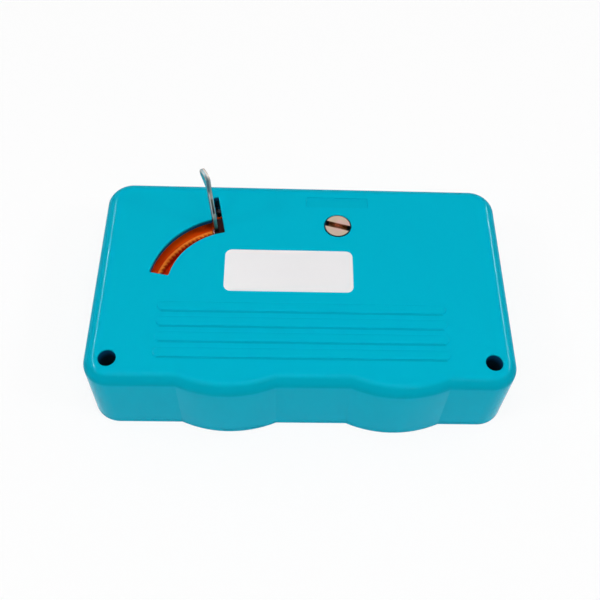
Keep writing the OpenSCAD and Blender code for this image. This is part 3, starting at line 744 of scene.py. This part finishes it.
    def panel(self):
        """The sunk panel, with soft edges."""
        s = self.s
        loop = round_rect(s.panel_l, s.panel_w, 0.35, (middle("coin_screw")[0], self.back - s.panel_inset), 5)
        profile = ((0.12, 0), (0.04, 0.04), (0, 0.12), (-0.01, s.panel_depth - 0.05), (-0.06, s.panel_depth))
        ids = self.mesh.sweep(loop, [(out, self.top - deep) for out, deep in profile])
        self.tops.append(ids[0])
        self.mesh.fill([ids[-1]], (0, 0, 1))

    def ribs(self):
        """Four raised ribs with half-round ends, a hollow foot and a rounded upper edge."""
        s = self.s
        r, h = s.rib_w / 2, s.rib_h
        profile = ((0.1, 0), (0.03, 0.03), (0, 0.1), (-0.02, h - 0.2), (-0.08, h - 0.08), (-0.22, h))
        for i in range(4):
            y = self.front + s.rib_inset + r + i * s.rib_pitch
            loop = np.concatenate([arc((s.rib_l / 2 - r, y), r, -90, 90, RIB_N),
                                   arc((r - s.rib_l / 2, y), r, 90, 270, RIB_N)])
            ids = self.mesh.sweep(loop, [(out, self.top + up) for out, up in profile])
            self.tops.append(ids[0])
            self.mesh.fill([ids[-1]], (0, 0, 1))

    def posts(self):
        """Below the ceiling: the posts over the guide rollers, the boss of the supply axle and the rod's bracket. Each
        ends a little clear of the piece under it and is rooted in the top."""
        post_r, boss_r, bracket_t, bracket_w, clear, rooted = 3.0, 5.2, 2.0, 5.0, 0.1, 0.9
        roller, rod_y = middle("left_guide_roller"), middle("spring_rod")[1]
        foot, root = box_mm("left_guide_roller")[1][2] + clear, self.ceiling + rooted
        for x in (roller[0], -roller[0]):
            self.mesh.bar((x, roller[1]), post_r, foot, root)
        self.mesh.bar(self.supply, boss_r, box_mm("brake_washer")[1][2] + clear, root)
        x = box_mm("return_spring")[0][0]
        self.mesh.box((x - bracket_t, rod_y - bracket_w / 2, foot), (x, rod_y + bracket_w / 2, root))

    def build(self, look):
        """The wall outside up to the rounded top edge, the wall inside with the ceiling, and all the cuts."""
        s, lip, soft = self.s, 0.12, 0.6
        outside_ports, inside_ports = zip(self.port(-1), self.port(1))
        start = s.lean * self.seam / self.wall_top
        end = s.lean * (self.seam + lip) / self.wall_top
        edge = [(s.lean + down, self.wall_top + s.edge_r - out) for out, down in fillet(s.edge_r, 14)]
        outside = self.shell([(start + lip, self.seam), (end, self.seam + lip), *edge], 1, (0, 1, 0), outside_ports)
        inside = self.shell([(self.inner, self.seam), (self.inner, self.ceiling - soft),
                             (self.inner + 0.18, self.ceiling - 0.18), (self.inner + soft, self.ceiling)],
                            0, (0, -1, 0), inside_ports)
        self.mesh.band(outside[0], inside[0])
        self.window()
        self.screw_holes()
        self.coin_recess()
        self.panel()
        self.ribs()
        self.mesh.fill([outside[-1], *self.tops], (0, 0, 1))
        self.mesh.fill([inside[-1], *self.ceilings], (0, 0, -1))
        self.posts()
        finish_piece(self.mesh.object("case_top"), look, "case", "top_case")


def build_label(s, look):
    """The blank label: its own outline with a rounded upper edge."""
    low, high = box_mm("label")
    loop = round_rect(high[0] - low[0], high[1] - low[1], s.label_r, ((low + high) / 2)[:2], 10)
    edge = 0.1
    m = Mesh()
    m.close(m.sweep(loop, ((0, low[2]), (0, high[2] - edge), (-0.03, high[2] - 0.03), (-edge, high[2]))))
    finish_piece(m.object("blank_label"), look, "case", "label")


def build_lever(s, look):
    """Bent steel: the flat arm on its hub, and the turned finger tab that stands up from the arm's end. The tab is an
    outline in its own plane, first its distance from the neck's front edge, then its height above the arm. Its sides
    run from the neck to the points where they touch the rounds of the head."""
    low, high = box_mm("lever")
    arm_top = box_mm("drive_hub")[1][2]
    t = arm_top - low[2]
    lean, turn, r = math.radians(s.lever_lean), math.radians(s.tab_turn), s.tab_r
    fall = t / 2 * math.cos(turn) - (r - s.tab_front) * math.sin(turn)
    top = (high[2] - arm_top - fall * math.sin(lean)) / math.cos(lean)
    under, wide, reach = top - s.tab_h, s.neck_out - s.neck_in, s.tab_out - s.neck_in

    def meet(foot, centre, side):
        """Where the line from the foot that touches the round about the centre meets the top."""
        d = np.subtract(centre, foot)
        a = math.atan2(d[1], d[0]) + side * math.asin(r / math.hypot(*d))
        return foot[0] + (top - foot[1]) / math.tan(a), top

    back = meet((wide, under), (reach - r, top - r), -1)
    front = meet((0, under), (r - s.tab_front, top - r), 1)
    tab = rounded([(0, -t / 2), (wide, -t / 2), (wide, under), back, front, (0, under)], [0.1, 0.1, 2, r, r, 2], 12)
    stand = Matrix(((1, 0, 0, 0), (0, 0, -1, 0), (0, 1, 0, 0), (0, 0, 0, 1)))  # a flat outline's y becomes z
    axle = Vector((*middle("takeup_axle")[:2], arm_top))
    base = Matrix.Translation(axle) @ Matrix.Rotation(math.radians(s.lever_rest), 4, "Z")
    place = (base @ Matrix.Rotation(-lean, 4, "X") @ Matrix.Translation((s.neck_in, 0, 0))
             @ Matrix.Rotation(turn, 4, "Z") @ stand)
    m = Mesh()
    m.plate(tab, place, t, 0.3)

    # the arm's corners: place along the arm and across it, and the corner's radius
    end, toe, half = s.neck_out - 0.2, s.arc_out + s.arm_toe, s.arm_w / 2
    side = t / 2 + 0.2 + wide * math.sin(turn)
    arm = np.array([(0, side + 3, 3), (-6, 0, 3), (0, -s.arm_w, 3), (s.neck_in - s.arm_w, -s.arm_w, 2),
                    (s.neck_in, -half, 0.6), (toe, -half, 0.6), (toe, -0.8, 0.6), (end, side, 0.3), (8, side, 2)])
    m.plate(rounded(arm[:, :2], arm[:, 2]), base @ Matrix.Translation((0, 0, -t / 2)), t, 0.2)
    obj = m.object("finger_lever")

    # each point's place on the tab's own sheet, for the material
    points = np.empty(len(obj.data.vertices) * 3, np.float32)
    obj.data.vertices.foreach_get("co", points)
    inverse = np.array(place.inverted())
    flat = points.reshape(-1, 3) / MM @ inverse[:3, :3].T + inverse[:3, 3]
    sheet = obj.data.attributes.new("sheet", "FLOAT_VECTOR", "POINT")
    sheet.data.foreach_set("vector", flat.astype(np.float32).ravel())
    finish_piece(obj, look, "advance_lever", "lever")


def build_spring(s, look):
    """A coil of round wire: with a the angle along the coil and b the angle round the wire, x is the place along the
    coil plus w sin b, and y and z lie at r + w cos b from the rod's axis, in the direction a."""
    low, high = box_mm("return_spring")
    _, mid_y, mid_z = (low + high) / 2
    w, steps = s.wire_r, 16
    t = np.linspace(0, 1, s.coil_turns * steps + 1)[:, None]
    a, b = 2 * math.pi * s.coil_turns * t, np.radians(np.arange(0, 360, 45))[None]
    x = low[0] + w + (high[0] - low[0] - 2 * w) * t + w * np.sin(b)
    out = (high[1] - low[1]) / 2 - w + w * np.cos(b)
    m = Mesh()
    m.close(m.bands(np.stack([x, mid_y + out * np.cos(a), mid_z + out * np.sin(a)], 2)))
    obj = finish_piece(m.object("return_coil", 60), look, "case", "return_spring")
    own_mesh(obj)


# Finishes
def case_look(colour, s):
    """Turquoise plastic, with painted shade in four places: inside the round holes, by the distance from their axes and
    the depth below the rim; on the curved window's wall behind the take-up axle; in a line before each rib, by the
    place across the ribs modulo their pitch; and in a band of heights along the rounded top edge, weaker behind the
    front wall."""
    look = plastic("Turquoise plastic", colour, CASE_ROUGHNESS, CASE_GLOSS)
    x, y, z = look.axes()
    top, front = float(box_mm("coin_screw")[1][2]), -float(box_mm("bottom_cover")[1][1])
    takeup, takeup_y = middle("takeup_axle"), float(middle("takeup_axle")[1])

    low, high = box_mm("corner_screws")
    head_r = (high[1] - low[1]) / 2
    coin_low, coin_high = box_mm("coin_screw")
    wider = float(coin_high[0] - coin_low[0]) / 2 + COIN_GAP - s.hole_r
    near = look.far((high[0] - head_r, high[1] - head_r)).least(look.far((low[0] + head_r, high[1] - head_r)))
    near = near.least(look.far(middle("coin_screw")) - wider)
    # painted shade inside the screw holes and the coin screw's recess, darker with the depth below the rim
    holes = (1 - near.step(s.hole_r + 0.02, s.hole_r + 0.2)) * (1 - z.step(top - 0.7, top - 0.12))
    # painted shade on the curved window's wall behind the take-up axle, below its rounded edge
    cut = z.between(top - s.top_t, top - 0.55, 0.4) * y.step(takeup_y, takeup_y + 1)
    cut = cut * look.far(takeup).between(s.arc_in - 0.1, s.slot_out + 0.1, 0.1)

    # painted shade: a dark line just in front of the foot of each rib
    start = s.rib_inset + front - s.rib_pitch / 2
    across = (y - start) % s.rib_pitch
    rib_foot_shade = across.between(s.rib_pitch / 2 - 0.5, s.rib_pitch / 2 + 0.02, 0.1)
    rib_foot_shade = rib_foot_shade * y.between(start, start + 4 * s.rib_pitch, 0.1)
    rib_foot_shade = rib_foot_shade * (1 - abs(x).step(s.rib_l / 2 - s.rib_w / 2, s.rib_l / 2 - 0.6))
    # painted shade along the rounded top edge, full at the front and weaker behind it
    rim = z.between(top - 0.8 * s.edge_r, top - 0.25, 0.6) * (1 - y.step(front + 5, front + 9) * 0.6)

    # colours of the painted shade in the holes and on the window's wall: near black low down, dark blue nearer the top
    deep_shade_blue, blue = (0.001, 0.02, 0.04), (0.003, 0.08, 0.20)
    # the plastic's colour, with painted shade 0.8 as bright at the ribs' feet and along the top edge
    outside = look.mix((rib_foot_shade * 0.75).most(rim), look.mottled(30, 2, 0.985, 1.015), shade(colour, 0.8))
    inside = look.mix(z.step(top - 4, top - 0.8), deep_shade_blue, blue)
    # the painted shade of the holes and the window's wall over the plastic's colour
    look.set("Base Color", look.mix(holes.most(cut), outside, inside))
    return look


def label_look(colour):
    """Satin film of one colour, hardly mottled."""
    look = Look("Label film", colour, 0.35, gloss=0.3)
    look.set("Base Color", look.mottled(55, 2, 0.98, 1.02))
    return look


def lever_look(steel):
    """Blanked steel. The faces are polished. The sheared edge is duller, brown in the middle of its thickness and pale
    beside as a painted highlight along its rounded arrises, with a painted dark slit of shade up the neck, a painted
    reflection of the case's colour low down, and painted shade on the head with the case's teal painted on one side as
    a reflection. The toe and the arm, below the tab, are painted dark as shade under the case's top."""
    brown, pale = (0.50, 0.40, 0.33), (0.74, 0.70, 0.67)
    slit_shade_low, slit_shade_high = (0.012, 0.002, 0.006), (0.14, 0.085, 0.04)
    mirrored_dark, mirrored = (0.02, 0.16, 0.15), (0.10, 0.34, 0.34)
    head, head_shadow = (0.36, 0.32, 0.29), (0.09, 0.16, 0.18)
    under_case_shade = (0.02, 0.008, 0.008)

    look = Look("Lever steel", steel, 0.2, 1.0)
    _, up, across = look.sheet()
    aside = abs(across - 0.05)
    # painted shade: a dark slit up the neck that the mesh doesn't have, near black low down and brown higher up
    slit = (1 - aside.step(0.22, 0.36)) * up.between(8.6, 15.6, 1.0)
    # pale beside the brown: a painted highlight along the edge's rounded arrises
    edge = look.mix(aside.step(0.28, 0.44), brown, pale)
    edge = look.mix(slit, edge, look.mix(up.step(9.5, 14.0), slit_shade_low, slit_shade_high))
    # painted reflection of the case's teal on the low part of the edge
    edge = look.mix(1 - up.step(5.0, 8.0), edge, look.mix(across.step(-0.5, 0.5), mirrored_dark, mirrored))
    # painted shade on the head's edge, darker than the edge below
    edge = look.mix(up.step(17.0, 20.5), edge, head)
    # painted shade, with a painted reflection of the case's teal, on one side of the head's edge
    edge = look.mix(up.step(18.0, 19.5) * (1 - across.step(-0.15, 0.2)), edge, head_shadow)

    sheared = 1 - abs(across).step(0.46, 0.58)
    # painted shade: the arm and its toe, below the tab, near black as in the shade under the case's top
    dark = 1 - up.step(0.4, 2.4)
    marks = look.noise(400, 3)
    look.set("Base Color", look.mix(dark, look.mix(sheared, shade(steel, 0.7), edge), under_case_shade))
    look.set("Metallic", 1 - sheared * 0.75 * (1 - dark))
    look.set("Roughness", marks * 0.1 + sheared * 0.3 + 0.1)
    look.bump(marks, 0.000006)
    return look


def wheel_look(orange):
    """Orange plastic, by the distance from the axle and the height: red low between the teeth as painted shade,
    brighter along the ring's upper ridge as a painted highlight, and patches of red and orange on the flange outside
    it."""
    look = plastic("Orange plastic", orange, 0.35, 0.02)
    r, z = look.far(middle("takeup_axle")), look.axes()[2]
    ring_top, ridge_r, flange_r = float(box_mm("ratchet_wheel")[1][2]), 24.1, 24.4
    # painted shade: red low between the teeth
    low = look.mix(look.noise(140, 3), (0.62, 0.02, 0.002), (0.85, 0.06, 0.003))
    # painted highlight: brighter orange along the ring's upper ridge
    ridge = look.mix(look.noise(700, 2), (0.95, 0.15, 0.01), (1.0, 0.30, 0.04))
    ridge_highlight_mask = z.step(ring_top - 1.2, ring_top - 0.1) * (1 - r.step(ridge_r - 0.2, ridge_r + 0.2))
    flange = look.mix(look.noise(45, 2).step(0.35, 0.65), (0.85, 0.05, 0.002), orange)
    look.set("Base Color", look.mix(r.step(flange_r - 0.2, flange_r + 0.2), look.mix(ridge_highlight_mask, low, ridge), flange))
    return look


def coin_look(zinc, s):
    """Yellow zinc, tinted in spots, with painted shade in its slot and round its rim. The slot is where the distance
    from a line through the middle is small, x sin a - y cos a, and x cos a + y sin a tells how far along it the ends
    darken."""
    # rim is the colour of the painted shade round the head's edge, where it meets the recess
    tint, rim = (0.47, 0.37, 0.285), (0.02, 0.06, 0.07)
    slot_shade_deep, slot_shade_brown, slot_end_shade = (0.09, 0.045, 0.018), (0.26, 0.12, 0.08), (0.006, 0.012, 0.016)

    look = metal("Yellow zinc", zinc, 0.2)
    low, high = box_mm("coin_screw")
    head_r, head_top = float(high[0] - low[0]) / 2, float(high[2])
    x, y, z = look.axes()
    x, y = x - float(middle("coin_screw")[0]), y - float(middle("coin_screw")[1])
    a = math.radians(s.coin_turn)
    beside = abs(x * math.sin(a) - y * math.cos(a))
    along = abs(x * math.cos(a) + y * math.sin(a))
    # painted shade in the slot and on the head below its top, brown and darker with depth, near black at the slot's
    # ends
    sunk = 1 - z.step(head_top - 0.9, head_top - 0.25)
    sunk = sunk.most(1 - beside.step(s.coin_slot / 2 + 0.15, s.coin_slot / 2 + 0.3))
    slot_shade = look.mix(look.noise(260, 3).step(0.4, 0.62), slot_shade_deep, slot_shade_brown)
    slot_shade = look.mix(along.step(2.5, 3.1), slot_shade, slot_end_shade)
    plated = look.mix(look.noise(170, 3).step(0.42, 0.6), zinc, tint)
    # painted shade along the head's edge
    rim_shade_mask = look.far(middle("coin_screw")).step(head_r - 0.34, head_r - 0.08)
    look.set("Base Color", look.mix(rim_shade_mask, look.mix(sunk, plated, slot_shade), rim))
    return look


def tape_look():
    """White woven tape: a sine wave up the tape with a fine noise."""
    look = Look("Cleaning tape", (0.86, 0.86, 0.84), 0.85)
    weave = (look.axes()[2] * 9.0).wave()
    look.bump(weave * 0.5 + look.noise(1200, 2), 0.00002)
    return look


def soft_look(name, colour, roughness, grain, detail, depth):
    """Felt or rubber: one colour with a noise of its own grain."""
    look = Look(name, colour, roughness)
    look.bump(look.noise(grain, detail), depth)
    return look


# Operators
class CASSETTE_OT_case(bpy.types.Operator):
    """Build the case's top, with its windows, ribs and bosses, and dress the cover"""

    bl_idname = "cassette.case"
    bl_label = "Case"

    def execute(self, context):
        s, colour = in_mm(context.scene.cassette_sizes), tuple(context.scene.cassette_colours.case)
        CaseTop(s).build(case_look(colour, s))
        cover = plain_plastic("Turquoise cover", shade(colour, 0.98), CASE_ROUGHNESS, CASE_GLOSS)
        dress("bottom_cover", cover, 0.15)
        return {"FINISHED"}


class CASSETTE_OT_label(bpy.types.Operator):
    """Build the blank label"""

    bl_idname = "cassette.label"
    bl_label = "Label"

    def execute(self, context):
        look = label_look(tuple(context.scene.cassette_colours.label))
        build_label(in_mm(context.scene.cassette_sizes), look)
        return {"FINISHED"}


class CASSETTE_OT_lever(bpy.types.Operator):
    """Build the finger lever and dress its hub and sector"""

    bl_idname = "cassette.lever"
    bl_label = "Lever"

    def execute(self, context):
        colours = context.scene.cassette_colours
        build_lever(in_mm(context.scene.cassette_sizes), lever_look(tuple(colours.steel)))
        dress("drive_hub", plain_plastic("Black plastic", tuple(colours.black), 0.45), 0.15)
        dress("sector_gear", plain_metal("Gear steel", (0.45, 0.45, 0.46), 0.35), 0.06)
        return {"FINISHED"}


class CASSETTE_OT_reels(bpy.types.Operator):
    """Dress the ratchet wheel, both reels, the rollers, the tape and the pad"""

    bl_idname = "cassette.reels"
    bl_label = "Reels"

    def execute(self, context):
        colours = context.scene.cassette_colours
        dress("ratchet_wheel", wheel_look(tuple(colours.wheel)), 0.07)
        pale = plain_plastic("White plastic", tuple(colours.white), 0.42)
        for node in ("takeup_hub", "supply_spool", "left_guide_roller", "right_guide_roller", "pad_carrier"):
            dress(node, pale, 0.15)
        tape = tape_look()
        for node in ("takeup_tape", "supply_tape", "tape_run"):
            dress(node, tape)
        dress("brake_washer", soft_look("Felt", (0.20, 0.20, 0.18), 0.95, 1500, 4, 0.00006), 0.08)
        dress("backing_pad", soft_look("Black rubber", (0.015, 0.015, 0.015), 0.7, 800, 3, 0.00001), 0.3)
        return {"FINISHED"}


class CASSETTE_OT_hardware(bpy.types.Operator):
    """Build the return spring, and dress the coin screw, screws, axles, pawls, shutter and leaf springs"""

    bl_idname = "cassette.hardware"
    bl_label = "Hardware"

    def execute(self, context):
        s, zinc = in_mm(context.scene.cassette_sizes), tuple(context.scene.cassette_colours.zinc)
        bright = plain_metal("Bright steel", (0.62, 0.62, 0.64), 0.25)
        dark = plain_metal("Dark screw steel", (0.20, 0.20, 0.21), 0.4)
        spring = plain_metal("Spring steel", (0.50, 0.50, 0.52), 0.25)
        oiled = plain_metal("Oil-blackened steel", (0.045, 0.045, 0.05), 0.4)
        dress("coin_screw", coin_look(zinc, s), 0.16)
        dress("corner_screws", dark, 0.15)
        for node in ("takeup_axle", "supply_axle", "guide_pins", "drive_pawl_pin", "holding_pawl_pin"):
            dress(node, bright, 0.12)
        for node in ("drive_pawl", "holding_pawl", "shutter"):
            dress(node, bright, 0.1)
        for node in ("drive_pawl_spring", "holding_pawl_spring", "screw_retainer"):
            dress(node, spring)
        dress("spring_rod", oiled, 0.12)
        build_spring(s, oiled)
        return {"FINISHED"}


# The stage
LAMPS = (  # name, place, width and length, power, direction of the length, lights gloss only
    ("left_box", (-0.62, -0.22, 0.68), (0.16, 0.16), 1.35, (0, 0, 1), False),
    ("right_box", (0.64, -0.22, 0.66), (0.16, 0.16), 1.35, (0, 0, 1), False),
    ("front_left", (-0.26, -0.42, 0.80), (0.10, 0.10), 0.75, (0, 0, 1), False),
    ("front_right", (0.24, -0.42, 0.80), (0.10, 0.10), 0.85, (0, 0, 1), False),
    ("top_box", (0.0, -0.05, 0.95), (0.5, 0.4), 2.65, (0, 0, 1), False),
    ("left_glint", (-0.40, 0.34, 0.66), (0.012, 0.42), 15.0, (0, 1, 0), True),
    ("right_glint", (0.55, 0.36, 0.56), (0.012, 0.42), 15.0, (0, 1, 0), True),
)


def seen(tree):
    """1 for what the camera sees, itself, in gloss or through glass; 0 for what only lights the object."""
    rays = ("Is Camera Ray", "Is Glossy Ray", "Is Transmission Ray")
    camera, gloss, glass = (add(tree, "ShaderNodeLightPath", out=ray) for ray in rays)
    return camera.most(gloss).most(glass)


def build_floor(scene, colour):
    """A square sheet under the object, which is paler where it is seen than where it gives light back."""
    r = 3.0
    mesh = bpy.data.meshes.new("floor")
    mesh.from_pydata([(-r, -r, 0), (r, -r, 0), (r, r, 0), (-r, r, 0)], [], [(0, 1, 2, 3)])
    look = Look("Floor", colour, 0.9)
    tree = look.tree
    white = add(tree, "ShaderNodeEmission")
    plain = S(tree, look.shader.outputs[0])
    surface = add(tree, "ShaderNodeMixShader", sockets={0: seen(tree) * 0.85, 1: plain, 2: white})
    feed(tree, tree.nodes["Material Output"].inputs["Surface"], surface)
    mesh.materials.append(look.mat)
    floor = bpy.data.objects.new("floor", mesh)
    scene.collection.objects.link(floor)


def build_world(scene):
    """White where it is seen, and an even, weaker white as light."""
    world = bpy.data.worlds.new("World")
    scene.world = world
    world.use_nodes = True
    tree = world.node_tree
    back = tree.nodes["Background"]
    back.inputs["Color"].default_value = WHITE
    back.inputs["Strength"].default_value = 0.3
    bright = add(tree, "ShaderNodeBackground", sockets={"Color": WHITE, "Strength": 1.0})
    surface = add(tree, "ShaderNodeMixShader", sockets={0: seen(tree), 1: S(tree, back.outputs[0]), 2: bright})
    feed(tree, tree.nodes["World Output"].inputs["Surface"], surface)


def build_lamp(scene, name, place, size, power, along, gloss_only):
    """An even lamp that looks at the object; the second of its sizes lies along the given direction."""
    data = bpy.data.lights.new(name, "AREA")
    data.shape = "RECTANGLE"
    data.size, data.size_y = size
    data.energy = power
    z = (Vector(place) - Vector((0, 0, 0.02))).normalized()
    x = Vector(along).cross(z).normalized()
    obj = bpy.data.objects.new(name, data)
    obj.matrix_world = Matrix.Translation(place) @ Matrix((x, z.cross(x), z)).transposed().to_4x4()
    obj.visible_diffuse = not gloss_only
    scene.collection.objects.link(obj)


def build_camera(scene):
    """The photograph's view: turned to the side by yaw, down by pitch and about its own line of sight by roll, all in
    radians. The focal length is in pixels of a frame 600 wide."""
    place = (-0.005567, -0.130325, 0.223968)
    yaw, pitch, roll, focal, frame_px, sensor = -0.083, 1.001, 0.087, 821.482, 600, 36
    forward = Vector((-math.sin(yaw) * math.cos(pitch), math.cos(yaw) * math.cos(pitch), -math.sin(pitch)))
    level = Vector((math.cos(yaw), math.sin(yaw), 0))
    above = level.cross(forward)
    right = math.cos(roll) * level + math.sin(roll) * above
    up = -math.sin(roll) * level + math.cos(roll) * above
    data = bpy.data.cameras.new("camera")
    data.sensor_width = sensor
    data.lens = focal * sensor / frame_px
    data.shift_x, data.shift_y = -0.0337, -0.0224
    data.clip_start = 0.01
    camera = bpy.data.objects.new("camera", data)
    camera.matrix_world = Matrix.Translation(place) @ Matrix((right, up, -forward)).transposed().to_4x4()
    scene.collection.objects.link(camera)
    scene.camera = camera


class CASSETTE_OT_stage(bpy.types.Operator):
    """Build the floor, the world, the lamps and the camera"""

    bl_idname = "cassette.stage"
    bl_label = "Stage"

    def execute(self, context):
        scene = context.scene
        build_floor(scene, tuple(scene.cassette_colours.floor))
        build_world(scene)
        for lamp in LAMPS:
            build_lamp(scene, *lamp)
        build_camera(scene)
        scene.view_settings.view_transform = "Standard"
        return {"FINISHED"}


STEPS = (CASSETTE_OT_case, CASSETTE_OT_label, CASSETTE_OT_lever, CASSETTE_OT_reels, CASSETTE_OT_hardware,
         CASSETTE_OT_stage)


class CASSETTE_PT_panel(bpy.types.Panel):
    """Settings and steps of the cassette"""

    bl_idname = "CASSETTE_PT_panel"
    bl_label = "Cleaning cassette"
    bl_space_type = "VIEW_3D"
    bl_region_type = "UI"
    bl_category = "Cassette"

    def draw(self, context):
        column = self.layout.column()
        for group in (context.scene.cassette_sizes, context.scene.cassette_colours):
            for name in group.__annotations__:
                column.prop(group, name)
        for step in STEPS:
            column.operator(step.bl_idname)


CLASSES = (CassetteSizes, CassetteColours, *STEPS, CASSETTE_PT_panel)


def register():
    """Adds the classes to Blender, and the settings to its scenes."""
    for cls in CLASSES:
        bpy.utils.register_class(cls)
    bpy.types.Scene.cassette_sizes = bpy.props.PointerProperty(type=CassetteSizes)
    bpy.types.Scene.cassette_colours = bpy.props.PointerProperty(type=CassetteColours)


def unregister():
    """Takes away what register added."""
    del bpy.types.Scene.cassette_colours
    del bpy.types.Scene.cassette_sizes
    for cls in reversed(CLASSES):
        bpy.utils.unregister_class(cls)


def plain(box):
    """A box's corners as lists of plain numbers."""
    return [[float(x) for x in p] for p in box]


def main():
    """Builds the object and its stage."""
    register()
    bpy.ops.cassette.case()
    bpy.ops.cassette.label()
    bpy.ops.cassette.lever()
    bpy.ops.cassette.reels()
    bpy.ops.cassette.hardware()
    bpy.ops.cassette.stage()


if __name__ == "__main__":
    main()
